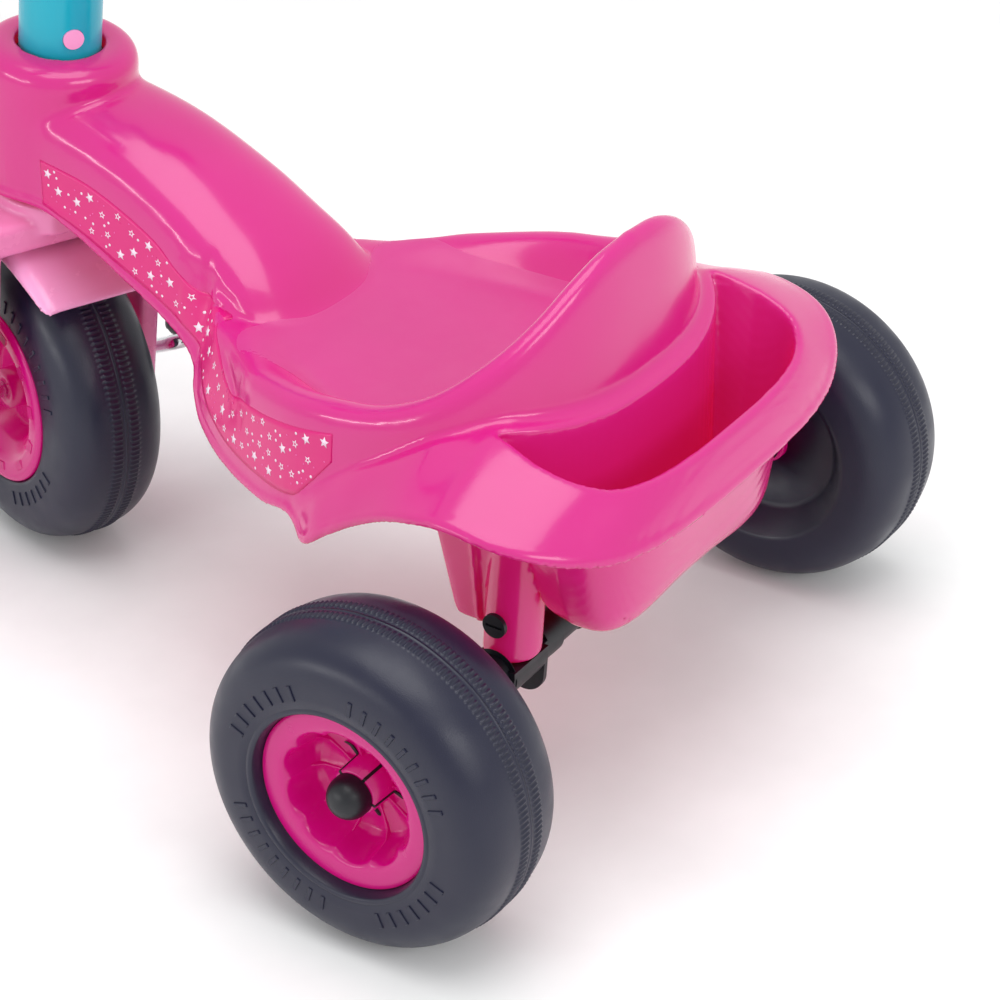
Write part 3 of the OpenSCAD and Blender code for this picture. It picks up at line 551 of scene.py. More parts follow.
def body_field(xs, ys, zs, pitch):
    """Distance field of the moulded body on a grid, in the body's own frame."""
    x, y = np.meshgrid(xs, ys, indexing="ij")
    z = zs[None, None, :]

    def deep(a):
        return a[:, :, None]

    seat, flange = deep(inside_seat(x, y)), deep(inside_flange(x, y))
    tub_z, flange_z = tub_top(x, y), flange_top(x, y)
    tub_s, flange_s = deep(steepness(tub_top, x, y)), deep(steepness(flange_top, x, y))
    skirt = curve(SKIRT_LINE, y)
    skirt_s = deep(np.sqrt(1 + (curve(SKIRT_LINE, y + 0.5) - curve(SKIRT_LINE, y - 0.5)) ** 2))
    above = (z - deep(skirt)) / skirt_s
    x, y = deep(x), deep(y)
    draft = 0.03 + 0.07 * ease(-310, -190, y)
    lean = lean_in(y) * np.clip(z - LEAN_FOOT, 0, LEAN_RISE)
    wall = -(seat - 1.2 - draft * (z - 200) - lean)
    tub = soft_max(wall, (z - deep(tub_z)) / tub_s, 4)
    tub = np.maximum(tub, -372 - y)
    flare = soft_max(-flange + 1.2 + 0 * z, (z - deep(flange_z)) / flange_s, 4)
    flare = np.maximum(flare, -117 - y)
    head = HEAD_LOCAL
    hy = y * head[1, 1] + z * head[1, 2] + head[1, 3]
    hz = y * head[2, 1] + z * head[2, 2] + head[2, 3]
    hr = np.sqrt(x ** 2 + hy ** 2)
    collar = soft_max(hr - HEAD_R, hz - HEAD_TOP, 14)
    outer = soft_min(soft_min(tub, flare, 5), collar, 5)
    slope = np.sqrt(sum(part ** 2 for part in np.gradient(outer, pitch)))
    outer = outer / np.clip(slope, 0.6, 4)
    # A small lip runs along the lower edge
    lip = 1.2 * ease(7.5, 3.5, above)
    outer = outer - lip
    shell = np.maximum(outer, -(outer + WALL + lip))
    body = soft_max(shell, -above, 2)
    # Basket below its mouth, open at the top
    aft = -15 - y
    bucket = inside_mouth(x + 0 * z, y - BASKET_LEAN * (MOUTH_Z - z)) - BASKET_TAPER * (MOUTH_Z - z)
    basket_in = soft_max(soft_max(-bucket, seat + 4.5 + 0 * z, 4), FLOOR_Z - z, 17)
    basket_in = np.maximum(basket_in, aft)
    basket = soft_max(soft_max(-bucket - 3.6, seat + 1 + 0 * z, 4), FLOOR_UNDER - z, 20)
    basket = np.maximum(np.maximum(basket, aft), z - deep(np.minimum(flange_z, 238)) + 2)
    # Walls and legs under the seat
    half = 98 - 0.106 * (200 - z)
    ahead = -(y + 53.5 - 0.15 * (200 - z))
    form = soft_max(np.abs(x) - half, ahead, 9)
    roof = z - deep(np.minimum(tub_z, flange_z)) + 2
    foot = soft_max(ahead, 108 - z + 0 * y, 11)
    walls = np.maximum(np.maximum(form, -(form + WALL)), np.maximum(y - 10, foot + 0 * x))
    walls = np.maximum(walls, roof)
    leg_x, leg_r = 88.6 - 0.13 * (z - 98), 15.8
    around = np.sqrt((x - leg_x) ** 2 + y ** 2)
    leg = np.maximum(soft_max(around - leg_r, 98.3 - z + 0 * y, 2.5), z - 225)
    # Bore for the beam's spigot, and the flat face under the pin's head
    bore = np.sqrt((x - SPIGOT_X) ** 2 + y ** 2) - SPIGOT_BORE
    leg = np.maximum(leg, -(np.maximum(bore, z - SPIGOT_TOP)))
    seat_of_pin = np.maximum(np.sqrt(y ** 2 + (z - PIN_Z) ** 2) - 7.5, PIN_FACE - x)
    leg = np.maximum(leg, -seat_of_pin)
    ribs = np.maximum(np.abs(y + 20.5) - 1.5 + 0 * z, np.abs(x - half + 1) - 3.2)
    ribs = np.maximum(np.maximum(ribs, 109 - z), roof)
    body = np.minimum(body, np.minimum(basket, np.minimum(walls, np.minimum(leg, ribs))))
    body = soft_max(body, -basket_in, 2.5)
    tube = np.maximum(np.abs(hr - 27.2) - 1.6, np.maximum(hz - HEAD_TOP + 4, 150 - hz))
    body = np.minimum(body, tube)
    return soft_max(body, -(np.maximum(hr - TUBE_BORE, 120 - hz)), 1.2)


HEAD_LOCAL = np.linalg.inv(HEAD) @ BODY
PIN_Z = centre("leg_pins")[2]
PIN_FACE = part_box("leg_pins")[1][0] / MM - 2.5
HEAD_R, HEAD_TOP, TUBE_BORE = 45, 237, 25.6
SPIGOT_X, SPIGOT_BORE, SPIGOT_TOP = 87.5, 10.9, 127


def make_body():
    """The moulded body, worked out for its left half and mirrored."""
    pitch = 1.7
    xs = np.arange(0.5, 174 / pitch) * pitch
    ys = np.arange(-421, 104, pitch)
    zs = np.arange(84, 345, pitch)
    half = body_field(xs, ys, zs, pitch)
    f = np.concatenate([half[::-1], half])
    xs = np.concatenate([-xs[::-1], xs])
    points, quads = field_mesh(xs, ys, zs, f)
    return add_mesh("moulded_body", points, quads, BODY, "frame", PINK, ["body_shell"])


body_piece = make_body()


# ---------- Seat pan ----------

PAN_MIDDLE, PAN_LEVEL, PAN_LIFT = -88, 209, 0.22
PAN_ROWS, PAN_COLUMNS = 34, 180


def pan_reach(angle):
    """How far the textured pan reaches from its middle before the seat's edge starts to rise."""
    c, s = math.sin(angle), math.cos(angle)
    reach = np.arange(20, 125, 0.5)
    x, y = reach * c, PAN_MIDDLE + reach * s
    rise = seat_top(x, y) - curve(PAN_LINE, y)
    neck = seat_top(x, y) - neck_top(x, y)
    edge = np.minimum(7 - rise, neck - 3)
    over = np.nonzero(edge < 0)[0]
    return reach[over[0]] if len(over) else reach[-1]


def make_pan(tree):
    """Finely textured skin of the seat's pan."""
    turns = np.linspace(0, 2 * np.pi, PAN_COLUMNS, endpoint=False)
    reach = np.array([pan_reach(turn) for turn in turns])
    for _ in range(8):
        reach = (np.roll(reach, 1) + 2 * reach + np.roll(reach, -1)) / 4
    points = []

    def add_point(x, y, lift):
        hit, _, _, _ = tree.ray_cast(Vector((x, y + AXLE[1], 330)) * MM, Vector((0, 0, -1)), 0.25)
        points.append((x, y, hit.z / MM + lift if hit is not None else PAN_LEVEL))

    for share in np.linspace(0.02, 1, PAN_ROWS) ** 0.8:
        lift = PAN_LIFT if share < 0.995 else 0.05
        for turn, r in zip(turns, reach):
            add_point(share * r * math.sin(turn), PAN_MIDDLE + share * r * math.cos(turn), lift)
    add_point(0, PAN_MIDDLE, PAN_LIFT)
    last = PAN_ROWS * PAN_COLUMNS
    faces = list(ring_faces(PAN_ROWS, PAN_COLUMNS))
    faces += [((k + 1) % PAN_COLUMNS, k, last) for k in range(PAN_COLUMNS)]
    return add_mesh("seat_pan_skin", points, faces, BODY, "frame", PAN_PINK)


# ---------- Stickers ----------

STICKER_LOW = [
    (-350, 252), (-322, 243), (-290, 229), (-259, 216), (-234, 205), (-212, 191), (-194, 182),
    (-175, 176), (-148, 174), (-112, 177), (-98, 190), (-84, 206),
]
STICKER_HIGH = [
    (-350, 279), (-309, 272), (-265, 253), (-248, 240), (-228, 228), (-207, 216), (-190, 207), (-175, 204),
    (-164, 208), (-138, 212), (-110, 217), (-84, 222),
]
STICKER_FROM, STICKER_TO = -350, -84
BIG_STAR, OPEN_STAR, DOT, SPECK = 3.3, 2.5, 0.85, 0.5


def wall_lean(y):
    """Slope of the wall's plan line."""
    return float(curve(WALL_LINE, y + 1) - curve(WALL_LINE, y - 1)) / 2


def on_wall(tree, y, z, lift):
    """Point on the body's left wall at a given station and height, lifted off it, in the body's frame."""
    out = Vector((1, -wall_lean(y), 0)).normalized()
    start = Vector((float(curve(WALL_LINE, y)), y, z)) + out * 40
    world = Vector((start.x, start.y + AXLE[1], start.z)) * MM
    hit, normal, _, _ = tree.ray_cast(world, -out, 0.08)
    if hit is None:
        hit, normal = Vector((start.x, start.y + AXLE[1], start.z)) * MM - out * 0.04, out
    if normal.dot(out) < 0:
        normal = -normal
    point = hit / MM + normal * lift
    return [point.x, point.y - AXLE[1], point.z]


def star_outline(radius, turn):
    """Ten corners of a five-pointed star."""
    corners = []
    for k in range(10):
        r, angle = radius * (1 if k % 2 == 0 else 0.45), turn + math.pi * k / 5
        corners.append((r * math.cos(angle), r * math.sin(angle)))
    return corners


def thicken(film, thickness):
    """Gives a film its thickness."""
    thick = film.modifiers.new("film", "SOLIDIFY")
    thick.thickness, thick.offset = thickness, -1


def star_places():
    """Scattered, well-spaced star places along the sticker, largest first."""
    places = []
    sizes = [BIG_STAR] * 20 + [OPEN_STAR] * 26 + [DOT] * 55 + [SPECK] * 50
    for size in sizes:
        for _ in range(60):
            y = STICKER_FROM + 4 + RNG.random() * (STICKER_TO - STICKER_FROM - 8)
            low, high = float(curve(STICKER_LOW, y)), float(curve(STICKER_HIGH, y))
            z = low + (high - low) * (0.08 + 0.84 * RNG.random())
            stretch = math.sqrt(1 + wall_lean(y) ** 2)
            gap = 3.8 if size > 2 else 1.4
            room = min(float(curve(STICKER_HIGH, y + d)) for d in (-size, size)) - z
            below = z - max(float(curve(STICKER_LOW, y + d)) for d in (-size, size))
            if min(room, below) < size + 0.8:
                continue
            if all(math.hypot((y - p[0]) * stretch, z - p[1]) > size + p[2] + gap for p in places):
                places.append((y, z, size))
                break
    return places


def make_sticker(side, tree, places):
    """A thin film laid on the wall, with printed stars and specks."""
    sign = 1 if side == "left" else -1
    place = BODY @ np.diag([sign, 1, 1, 1])
    rows, columns = 12, 190
    ys = np.linspace(STICKER_FROM, STICKER_TO, columns)
    points = []
    for y in ys:
        low, high = float(curve(STICKER_LOW, y)), float(curve(STICKER_HIGH, y))
        points += [on_wall(tree, y, low + (high - low) * t, 0.22) for t in np.linspace(0, 1, rows)]
    faces = [
        (c * rows + r, (c + 1) * rows + r, (c + 1) * rows + r + 1, c * rows + r + 1)
        for c in range(columns - 1) for r in range(rows - 1)
    ]
    sheet = add_mesh(
        f"sticker_{side}_film", points, faces, place, "frame", STICKER,
        [f"side_sticker_{side}"],
    )
    thicken(sheet, 0.00018)
    layers = (("stars", STAR, (BIG_STAR, OPEN_STAR, DOT)), ("specks", STAR_PALE, (SPECK,)))
    for label, material, wanted in layers:
        points, faces = [], []
        for number, (y, z, size) in enumerate(places):
            if size not in wanted:
                continue
            squeeze = 1 / math.sqrt(1 + wall_lean(y) ** 2)
            if size > 2:
                outer = star_outline(size, number * 1.3)
            else:
                outer = [(size * math.cos(a), size * math.sin(a)) for a in np.arange(10) * math.pi / 5]
            rings = [outer, [(0.5 * a, 0.5 * b) for a, b in outer]] if size == OPEN_STAR else [outer]
            base = len(points)
            for ring in rings:
                points += [on_wall(tree, y + a * squeeze, z + b, 0.34) for a, b in ring]
            if len(rings) == 2:
                faces += [face[::-1] for face in side_faces(base, 10)]
            else:
                points.append(on_wall(tree, y, z, 0.34))
                faces += [(base + k, base + (k + 1) % 10, base + 10) for k in range(10)]
        layer = add_mesh(f"sticker_{side}_{label}", points, faces, place, "frame", material)
        thicken(layer, 0.0001)


def make_stickers():
    tree = BVHTree.FromPolygons(
        [v.co.copy() for v in body_piece.data.vertices],
        [tuple(p.vertices) for p in body_piece.data.polygons],
    )
    make_pan(tree)
    places = star_places()
    for side in ("left", "right"):
        make_sticker(side, tree, places)


make_stickers()


# ---------- Tyres ----------

TEETH, TOOTH = 184, 0.95
REAR_R, FRONT_R = 92.5, 100


def tyre_profile(shoulder_r, outer_r, half, inner, tread):
    """Section of a tyre: its tread and side walls, then its inner faces."""
    angle = np.radians(np.linspace(-90, 90, 61))
    bulge = np.maximum(np.cos(angle), 0) ** 0.739
    side = np.sign(angle) * np.abs(np.sin(angle)) ** 0.7 * half
    outer = np.stack([shoulder_r + (outer_r - shoulder_r) * bulge, side], 1)
    flat = outer[(outer[:, 1] < -tread[-1] - 1) | (outer[:, 1] > tread[-1] + 1)]
    rows = np.concatenate([-np.array(tread)[::-1], tread])
    crown = np.stack([np.interp(rows, outer[:, 1], outer[:, 0]), rows], 1)
    low, high = flat[flat[:, 1] < 0], flat[flat[:, 1] > 0]
    return np.concatenate([low, crown, high, np.asarray(inner, float)])


TREAD_ROWS = [0.0, 0.55, 0.9, 1.3, 2.6, 2.9, 3.1, 5.5, 8.3, 8.6, 9.0]


def tread_change(outer_r):
    """Raises the parting line and two rows of short teeth."""

    def change(radius, height, angle):
        phase = (angle * TEETH / (2 * np.pi)) % 1
        tooth = np.clip(np.minimum((phase - 0.02) / 0.1, (0.52 - phase) / 0.1), 0, 1)
        u = np.abs(height)
        band = np.clip(np.minimum((u - 2.6) / 0.4, (9.0 - u) / 0.5), 0, 1)
        crown = radius > outer_r - 3.5
        seam = np.clip((0.9 - u) / 0.4, 0, 1) * 0.35
        wobble = 0.25 * np.sin(angle * 5) + 0.15 * np.sin(angle * 13)
        raised = radius + np.where(crown, TOOTH * band * tooth[None, :] + seam, 0)
        return raised, height + np.where(crown & (u < 1), wobble, 0)

    return change


def make_tyre(name, place, node, body, shoulder_r, outer_r, half, inner):
    """A tyre with its tread."""
    profile = tyre_profile(shoulder_r, outer_r, half, inner, TREAD_ROWS)
    points, faces = lathe(profile, TEETH * 6, tread_change(outer_r))
    return add_mesh(name, points, faces, place, body, RUBBER, [node])


REAR_HALF, FRONT_HALF = 37.5, 34.5
REAR_INNER = [
    (61.5, 37.5), (56.4, 37.5), (56.1, 37.25), (55.5, 37.25),
    (55.2, 37.5), (54, 37.5), (53, 37.2), (52.4, 36.4), (51.4, 31), (51.3, 28.6), (39.7, 28.5), (39.7, 2),
    (13.2, 2), (13.2, -20), (42, -20), (46, -22), (57, -37), (60, -37.5),
]
FRONT_INNER = [
    (60.5, 34.5), (58.6, 34.3), (57.6, 33.4), (57.4, 31.6), (48, 31.5), (48, 10), (14, 10), (14, -10),
    (48, -10), (48, -31.5), (57.4, -31.6), (57.6, -33.4), (58.6, -34.3), (60.5, -34.5),
]
for side, place in REAR_WHEEL.items():
    make_tyre(
        f"tyre_rear_{side}", place, f"rear_tyre_{side}", f"rear_wheel_{side}",
        63.1, REAR_R - TOOTH, REAR_HALF, REAR_INNER,
    )
make_tyre(
    "tyre_front", FRONT_WHEEL, "front_tyre", "front_wheel",
    67, FRONT_R - TOOTH, FRONT_HALF, FRONT_INNER,
)


def raised_marks(name, place, body, face_u, low_r, high_r, arcs):
    """Plain moulded marks on a side wall: groups of equal bars along arcs."""
    points, faces = [], []

    def block(angle):
        base = len(points)
        for height, inset in ((-2.5, 0.0), (0.5, 0.25), (0.8, 0.7)):
            for r, t in ((low_r + inset, -1), (high_r - inset, -1), (high_r - inset, 1), (low_r + inset, 1)):
                a = angle + t * (MARK_WIDTH / 2 - inset * 0.6) / r
                fall = 0.02 * max(r - low_r - 6, 0) ** 2
                points.append((r * math.cos(a), r * math.sin(a), face_u + height - fall))
        faces.extend(side_faces(base, 4) + side_faces(base + 4, 4))
        faces.append((base + 8, base + 11, base + 10, base + 9))
        faces.append((base, base + 1, base + 2, base + 3))

    for start, end, count in arcs:
        for i in range(count):
            block(math.radians(start + (end - start) * i / (count - 1)))
    return add_mesh(name, points, faces, place, body, RUBBER, smooth=False)


MARK_WIDTH = 2.6
MARK_ARCS = [(20, 80, 9), (112, 158, 7), (200, 260, 9), (292, 338, 7)]
for side, place in REAR_WHEEL.items():
    raised_marks(f"sidewall_marks_{side}", place, f"rear_wheel_{side}", REAR_HALF, 60, 69, MARK_ARCS)
for side, sign in SIDES:
    place = FRONT_WHEEL @ np.diag([1, 1, sign, 1])
    raised_marks(f"front_sidewall_marks_{side}", place, "front_wheel", FRONT_HALF, 64, 73, MARK_ARCS)


# ---------- Rear hubs ----------

RIBS = 10
RIB_START = math.radians(39)
SLOTS = 5
SLOT_START = math.radians(57)


def hub_change(radius, height, angle):
    """Scallops the bowl's wall and floor into petals that meet in ridges."""
    phase = ((angle - RIB_START) * RIBS / (2 * np.pi)) % 1
    scallop = ((2 * phase - 1) ** 2)[None, :]
    inside = (height > 3) & (radius < 40.5) & (radius > 14)
    wall = np.clip((radius - 31) / 4, 0, 1) * np.clip((30.2 - height) / 3, 0, 1) * inside
    floor = np.clip((radius - 14) / 4, 0, 1) * np.clip((12 - height) / 6, 0, 1) * inside
    return radius - 3.0 * scallop * wall, height + 2.6 * scallop * floor


def rounded_path(points, radius, steps=4):
    """A path whose inner corners are rounded."""
    points = [np.asarray(p, float) for p in points]
    path = [points[0]]
    for before, corner, after in zip(points, points[1:], points[2:]):
        a, b = before - corner, after - corner
        la, lb = np.linalg.norm(a), np.linalg.norm(b)
        cut = min(radius, la / 2.2, lb / 2.2)
        start, end = corner + a / la * cut, corner + b / lb * cut
        for i in range(steps + 1):
            t = i / steps
            path.append((1 - t) ** 2 * start + 2 * t * (1 - t) * corner + t * t * end)
    path.append(points[-1])
    return np.array(path)


def spun(turn, r, t, u):
    """Point at radius r, t to its side and height u, on a line turned round the axle."""
    c, s = math.cos(turn), math.sin(turn)
    return r * c - t * s, r * s + t * c, u


def make_rear_hub(side, place):
    """A dished hub with petals, ribs and a slotted middle, the slots drawn as dark pieces of painted shade.
    """
    body = f"rear_wheel_{side}"
    section = rounded_path([
        (13.0, 21.8), (13.6, 5.6), (18, 5.2), (22, 5.0), (27, 5.0), (31.4, 5.6), (34.6, 8.5), (36.2, 14),
        (37.2, 20), (38.0, 26), (38.7, 29.1), (40.4, 30.2), (43, 30.5), (48.8, 30.7),
        (51.0, 30.2), (51.1, 27.6), (44.5, 27.4), (43.6, 2.2), (13.0, 2.2), (13.0, -24), (5.2, -24),
    ], 1.0)
    section = np.concatenate([section, [(5.2, 5), (9.2, 5), (9.2, 21.8)]])
    points, faces = lathe(section, 300, hub_change)
    add_mesh(f"hub_rear_{side}", points, faces, place, body, HUB_PINK, [f"rear_hub_{side}"])
    rib_points, rib_faces = [], []
    outline = [(12.5, 4.5), (12.5, 8.2), (20, 8.2), (28, 9.0), (33.4, 13.5), (36.6, 22), (38.2, 26), (37, 4)]
    for i in range(RIBS):
        turn = RIB_START + 2 * math.pi * i / RIBS
        base = len(rib_points)
        for half in (-0.8, 0.8):
            for r, u in outline:
                rib_points.append(spun(turn, r, half * (1 if u < 6 else 0.75), u))
        n = len(outline)
        rib_faces.append(tuple(base + j for j in range(n)))
        rib_faces.append(tuple(base + n + j for j in reversed(range(n))))
        rib_faces += side_faces(base, n)
    ribs = add_mesh(
        f"hub_ribs_{side}", rib_points, rib_faces, place, body, HUB_PINK, smooth=False,
    )
    soften(ribs, 0.0005)
    # Painted shade: dark pieces laid in the middle where the open slots look black
    gap_points, gap_faces = [], []
    for i in range(SLOTS):
        turn = SLOT_START + 2 * math.pi * i / SLOTS
        route = [(9.5, 22.0, 0), (13.35, 21.9, 0), (13.85, 6.2, 0), (19.5, 6.6, 0), (22.5, 6.4, 2.5)]
        base = len(gap_points)
        for drop in (0, 1):
            for r, u, off in route:
                for t in (off - 0.85, off + 0.85):
                    gap_points.append(spun(turn, r - drop, t, u - drop))
        n = 2 * len(route)
        for j in range(len(route) - 1):
            a = base + 2 * j
            gap_faces += [(a, a + 2, a + 3, a + 1), (a + n, a + n + 1, a + n + 3, a + n + 2)]
            gap_faces += [(a, a + n, a + n + 2, a + 2), (a + 1, a + 3, a + n + 3, a + n + 1)]
        a = base + n - 2
        gap_faces += [(base, base + 1, base + n + 1, base + n), (a, a + n, a + n + 1, a + 1)]
    add_mesh(f"hub_slot_shade_{side}", gap_points, gap_faces, place, body, PAINTED_SHADE, smooth=False)


def soften(piece, width, segments=2):
    """Rounds a piece's sharp edges."""
    bevel = piece.modifiers.new("edge", "BEVEL")
    bevel.width = width
    bevel.segments = segments
    bevel.limit_method = "ANGLE"
    piece.modifiers.new("shade", "WEIGHTED_NORMAL")
    for polygon in piece.data.polygons:
        polygon.use_smooth = True


for side, place in REAR_WHEEL.items():
    make_rear_hub(side, place)


# ---------- Front hub ----------

def make_front_hub():
    """Both dished faces of the front hub, with a ring of pockets in each rim."""
    for side, sign in SIDES:
        place = FRONT_WHEEL @ np.diag([1, 1, sign, 1])
        section = rounded_path([
            (12.5, 27.5), (13, 14.5), (28, 13.0), (33, 27), (40, 33.0), (44.5, 35.6), (53.5, 36.4),
            (57.0, 35.2), (57.0, 31.8), (47.8, 31.8), (47.6, 10.4), (13.5, 10.4), (13.5, 0.2), (5.0, 0.2),
        ], 1.6)
        section = np.concatenate([section, [(5.0, 27.5)]])
        points, faces = lathe(section, 200)
        replaced = ["front_hub"] if side == "left" else []
        add_mesh(f"front_hub_{side}", points, faces, place, "front_wheel", HUB_PINK, replaced)
        pocket_points, pocket_faces = [], []
        for i in range(12):
            turn = 2 * math.pi * (i + 0.5) / 12
            base = len(pocket_points)
            for u, grow in ((36.45, 0.0), (35.4, -0.5)):
                for r, t in ((45.2, -3.6), (50.4, -3.9), (50.4, 3.9), (45.2, 3.6)):
                    pocket_points.append(spun(turn, r, t + math.copysign(grow, t), u))
            pocket_faces += [(base, base + 1, base + 2, base + 3), (base + 7, base + 6, base + 5, base + 4)]
            pocket_faces += side_faces(base, 4)
        add_mesh(
            f"front_hub_pockets_{side}", pocket_points, pocket_faces, place, "front_wheel",
            POCKET_PINK, smooth=False,
        )


make_front_hub()


# ---------- Fork, fender, handlebar and pedals ----------

def box_field(x, y, z, centre_at, half, radius):
    q = [np.abs(a - c) - (h - radius) for a, c, h in zip((x, y, z), centre_at, half)]
    outside = np.sqrt(sum(np.maximum(v, 0) ** 2 for v in q))
    return outside + np.minimum(np.maximum(np.maximum(q[0], q[1]), q[2]), 0) - radius


def rod_field(x, y, z, start, end, radius):
    """A rod with round ends between two points."""
    start, end = np.asarray(start, float), np.asarray(end, float)
    d = end - start
    px, py, pz = x - start[0], y - start[1], z - start[2]
    t = np.clip((px * d[0] + py * d[1] + pz * d[2]) / (d @ d), 0, 1)
    return np.sqrt((px - t * d[0]) ** 2 + (py - t * d[1]) ** 2 + (pz - t * d[2]) ** 2) - radius


def fork_field(x, y, z):
    """Two ribbed blades, the crown over the wheel, a boss and the spigot in the stem."""
    ax = np.abs(x)
    blade = box_field(ax, y, z, (55, 0, 56), (7, 22, 80), 3)
    toe = (np.abs(y) - 22) * 0.83 + (-6 - z) * 0.56
    blade = soft_max(blade, toe, 3)
    ridges = np.abs(((ax - 48) % 4.6) - 2.3)
    blade = blade + np.where((y > 20) & (z < 112), 0.9 * ease(1.5, 0.6, ridges), 0)
    crown = box_field(x, y, z, (0, -2, 128.5), (62, 30, 10.5), 5)
    r = np.sqrt(x ** 2 + y ** 2)
    boss = soft_max(r - 40, np.abs(z - 138) - 9.2, 3)
    spigot = soft_max(r - 20, np.abs(z - 190) - 72, 2)
    body = soft_min(soft_min(blade, crown, 6), boss, 3)
    body = np.minimum(body, spigot)
    hole = np.sqrt((y + FORK_OFFSET) ** 2 + (z + WHEEL_DROP) ** 2) - 8.1
    bore = 16 - r - np.where(z < 40, 99, 0)
    return soft_max(np.maximum(body, -hole), bore, 1)


def fender_field(x, y, z):
    """A shell over the front tyre, cut off along a curved lower edge."""
    r = np.sqrt((y + FORK_OFFSET) ** 2 + (z + WHEEL_DROP) ** 2)
    ax = np.abs(x)
    outer = soft_max(r - 117, ax - 40.5, 11)
    shell = np.maximum(outer, -(outer + 3))
    edge = curve([(-130, 30), (-100, 62), (-60, 92), (-30, 102), (9, 102), (35, 97), (57, 90), (75, 86)], y)
    below = (edge - z) * 0.9
    aft = y - 57 - 0.10 * (z - 89)
    fore = -(y + 108)
    return soft_max(soft_max(soft_max(shell, below, 1.5), aft, 4), fore, 4)


def make_fork():
    sculpt("fork_moulding", fork_field, (-64, -34, -26), (64, 30, 264), 2.0, STEERING,
           "steering", FORK_PINK, ["fork"])
    sculpt("fender_moulding", fender_field, (-42, -112, 10), (42, 62, 118), 1.8, STEERING,
           "steering", LIGHT_PINK, ["front_fender"])


make_fork()


def handlebar_field(x, y, z):
    """A socket on the stem and a bar that rises to both ends."""
    ax = np.abs(x)
    r = np.sqrt(x ** 2 + y ** 2)
    socket = soft_max(r - 28, np.abs(z - 361) - 29, 6)
    across = rod_field(ax, y, z, (0, 0, 372), (60, 0, 372), 13)
    rise = rod_field(ax, y, z, (60, 0, 372), (65, 26, 424), 13)
    end = rod_field(ax, y, z, (65, 26, 424), (148, 26, 424), 12.6)
    bar = soft_min(soft_min(socket, across, 8), soft_min(rise, end, 6), 6)
    return soft_max(bar, -np.maximum(r - 23.8, z - 372), 1)


def grip_field(x, y, z):
    """A ringed sleeve with a collar at its inner end."""
    r = np.sqrt((y - 26) ** 2 + (z - 424) ** 2)
    rings = 0.9 * np.cos((x - 82) * 2 * np.pi / 7.5) * ease(80, 84, x) * (1 - ease(152, 156, x))
    sleeve = soft_max(r - 16 + rings, np.abs(x - 122.5) - 42.5, 4)
    collar = soft_max(r - 21, np.abs(x - 82.5) - 2.5, 2)
    return np.maximum(soft_min(sleeve, collar, 2), -np.maximum(r - 13.1, x - 160))


def pedal_field(x, y, z):
    """A ribbed block with four pockets and a bore."""
    block = box_field(x, y, z, (0, 0, 0), (35.5, 30, 10), 5)
    tread = 0.8 * ease(1.6, 0.8, np.abs((y % 7.0) - 3.5)) * (np.abs(z) > 7)
    pockets = box_field(np.abs(x), np.abs(y), z, (14, 17, 0), (9, 7, 40), 2)
    bore = np.sqrt(y ** 2 + z ** 2) - 4.85
    return np.maximum(soft_max(block + tread, -pockets, 1.2), -bore)


def make_bars():
    sculpt("handlebar_moulding", handlebar_field, (-162, -30, 330), (162, 42, 440), 2.2, STEERING,
           "steering", CYAN, ["handlebar"])
    for side, sign in SIDES:
        place = STEERING @ np.diag([sign, 1, 1, 1])
        sculpt(f"grip_{side}_sleeve", grip_field, (78, 4, 402), (167, 48, 446), 1.6, place,
               "steering", PINK, [f"grip_{side}"])
    for side in ("left", "right"):
        place = basis(WHEEL_AXIS, STEER_BACK, STEER_AXIS, centre(f"pedal_{side}"))
        sculpt(f"pedal_{side}_block", pedal_field, (-36, -31, -11), (36, 31, 11), 1.6, place,
               f"pedal_{side}", BLACK, [f"pedal_{side}"])


make_bars()


def tube_mesh(path, radius, columns=20):
    """Closed tube swept along a path in one plane."""
    path = np.asarray(path, float)
    step = np.gradient(path, axis=0)
    step /= np.linalg.norm(step, axis=1)[:, None]
    across = np.cross(path[-1] - path[0], path[len(path) // 3] - path[0])
    across /= max(np.linalg.norm(across), 1e-9)
    side = np.cross(step, across)
    side /= np.linalg.norm(side, axis=1)[:, None]
    angle = np.linspace(0, 2 * np.pi, columns, endpoint=False)
    ring = np.cos(angle)[None, :, None] * side[:, None, :] + np.sin(angle)[None, :, None] * across
    points = (path[:, None, :] + radius * ring).reshape(-1, 3)
    faces = [tuple(f) for f in ring_faces(len(path), columns)]
    faces += [tuple(range(columns))[::-1], tuple((len(path) - 1) * columns + i for i in range(columns))]
    return points, faces


CRANK_R = 4.75
ARM_X, PIN_END = 70, 154


def make_crank():
    """The bent rod that is the front axle, both crank arms and both pedal pins."""
    toe = np.linalg.inv(STEERING) @ np.append(centre("pedal_left"), 1)
    hub = np.linalg.inv(STEERING) @ np.append(WHEEL_POINT, 1)
    throw = (toe - hub)[:3] * [0, 1, 1]
    corners = [
        hub[:3] - throw - [PIN_END, 0, 0], hub[:3] - throw - [ARM_X, 0, 0], hub[:3] - [ARM_X, 0, 0],
        hub[:3] + [ARM_X, 0, 0], hub[:3] + throw + [ARM_X, 0, 0], hub[:3] + throw + [PIN_END, 0, 0],
    ]
    points, faces = tube_mesh(rounded_path(corners, 9, 8), CRANK_R)
    add_mesh("crank_rod", points, faces, STEERING, "front_wheel", CHROME, ["crank"])


make_crank()


# ---------- CAD nodes that keep their shape ----------

KEPT = (
    (BLACK, ("head_bush_upper", "head_bush_lower", "rear_axle_beam", "leg_pins", "axle_cap_left",
             "axle_cap_right", "fork_bush_left", "fork_bush_right", "pedal_cap_left", "pedal_cap_right")),
    (ZINC, ("rear_axle_rod", "fender_screws", "stem_screw")),
    (CYAN, ("steering_stem",)),
    (LIGHT_PINK, ("stem_screw_cap",)),
)
for material, names in KEPT:
    for name in names:
        slots = frame["nodes"][name].data.materials
        slots.clear()
        slots.append(material)


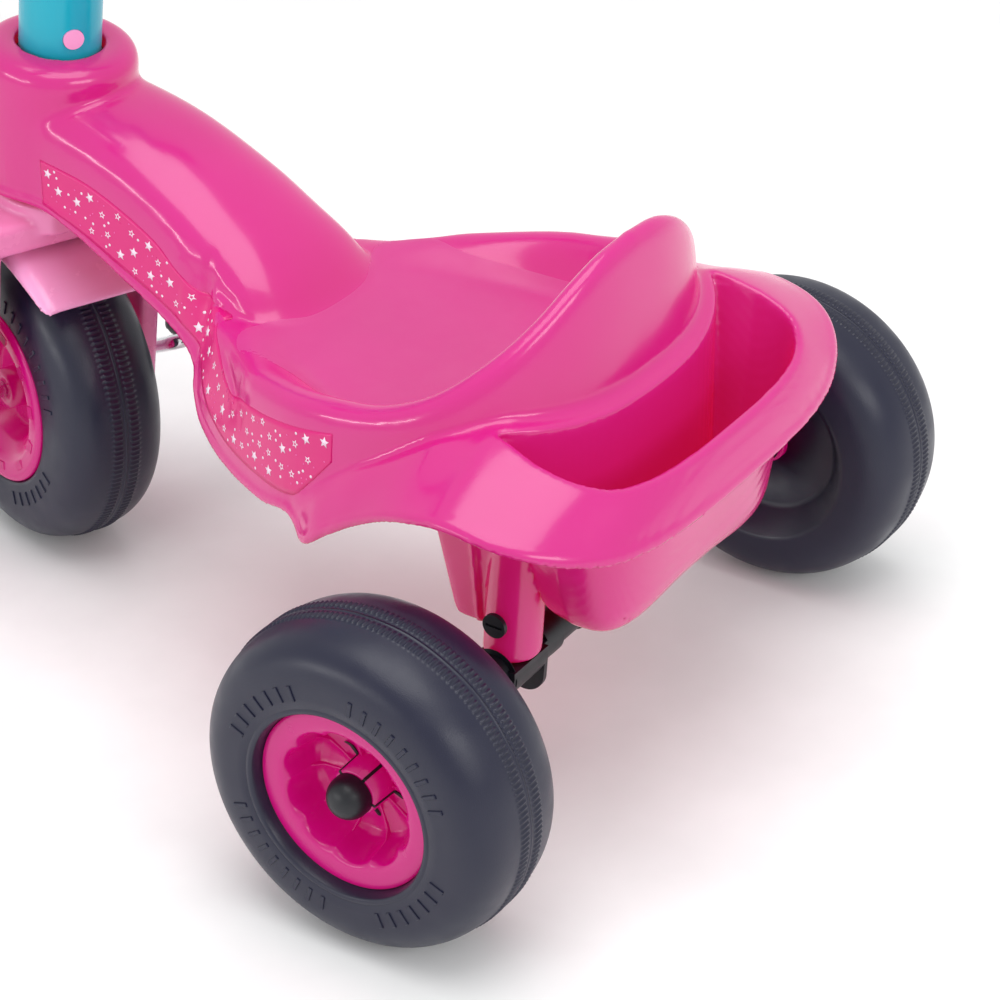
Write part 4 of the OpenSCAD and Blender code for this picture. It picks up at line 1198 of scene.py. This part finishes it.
# ---------- Floor, light and camera ----------

FLOOR_REACH = 6.0


def make_stage():
    floor_mesh = bpy.data.meshes.new("floor")
    corners = [(a * FLOOR_REACH, b * FLOOR_REACH, 0) for a, b in ((-1, -1), (1, -1), (1, 1), (-1, 1))]
    floor_mesh.from_pydata(corners, [], [(0, 1, 2, 3)])
    floor = bpy.data.objects.new("floor", floor_mesh)
    SCENE.collection.objects.link(floor)
    floor_mesh.materials.append(moulded("pale_floor", (0.93, 0.93, 0.93), 0.6, 0.02, 0.0))
    world = bpy.data.worlds.new("studio")
    SCENE.world = world
    world.use_nodes = True
    set_inputs(world.node_tree.nodes["Background"], {"Color": (1, 1, 1, 1), "Strength": 0.8})


def softbox(name, place, target, size, power):
    light = bpy.data.lights.new(name, "AREA")
    light.shape = "RECTANGLE"
    light.size, light.size_y = size
    light.energy = power
    lamp = bpy.data.objects.new(name, light)
    SCENE.collection.objects.link(lamp)
    lamp.location = place
    lamp.rotation_euler = (Vector(target) - Vector(place)).to_track_quat("-Z", "Y").to_euler()


CAMERA_TARGET = (0.0986, AXLE[1] * MM, 0.1951)
CAMERA_AZIMUTH, CAMERA_ELEVATION, CAMERA_ROLL = math.radians(123.94), math.radians(30.87), math.radians(-0.67)
CAMERA_DISTANCE, CAMERA_LENS = 1.5092, 106.2


def make_camera():
    """The camera that sees the tricycle as the photograph does."""
    back = Vector((
        math.sin(CAMERA_AZIMUTH) * math.cos(CAMERA_ELEVATION),
        -math.cos(CAMERA_AZIMUTH) * math.cos(CAMERA_ELEVATION),
        math.sin(CAMERA_ELEVATION),
    ))
    right = (-back).cross(Vector((0, 0, 1))).normalized()
    up = right.cross(-back)
    c, s = math.cos(CAMERA_ROLL), math.sin(CAMERA_ROLL)
    right, up = right * c + up * s, up * c - right * s
    data = bpy.data.cameras.new("camera")
    data.lens, data.sensor_width = CAMERA_LENS, 36
    camera = bpy.data.objects.new("camera", data)
    SCENE.collection.objects.link(camera)
    turn = Matrix((right, up, back)).transposed().to_4x4()
    camera.matrix_world = Matrix.Translation(Vector(CAMERA_TARGET) + back * CAMERA_DISTANCE) @ turn
    SCENE.camera = camera


SCENE.view_settings.view_transform = "Standard"
make_stage()
softbox("overhead", (0.2, 0.3, 2.2), (0, 0, 0.2), (1.8, 1.8), 26)
softbox("key_left", (2.0, -0.9, 0.66), (0, 0, 0.2), (1.6, 0.12), 8)
softbox("rear_fill", (0.6, 2.2, 1.3), (0, 0.1, 0.2), (1.4, 0.6), 12)
make_camera()
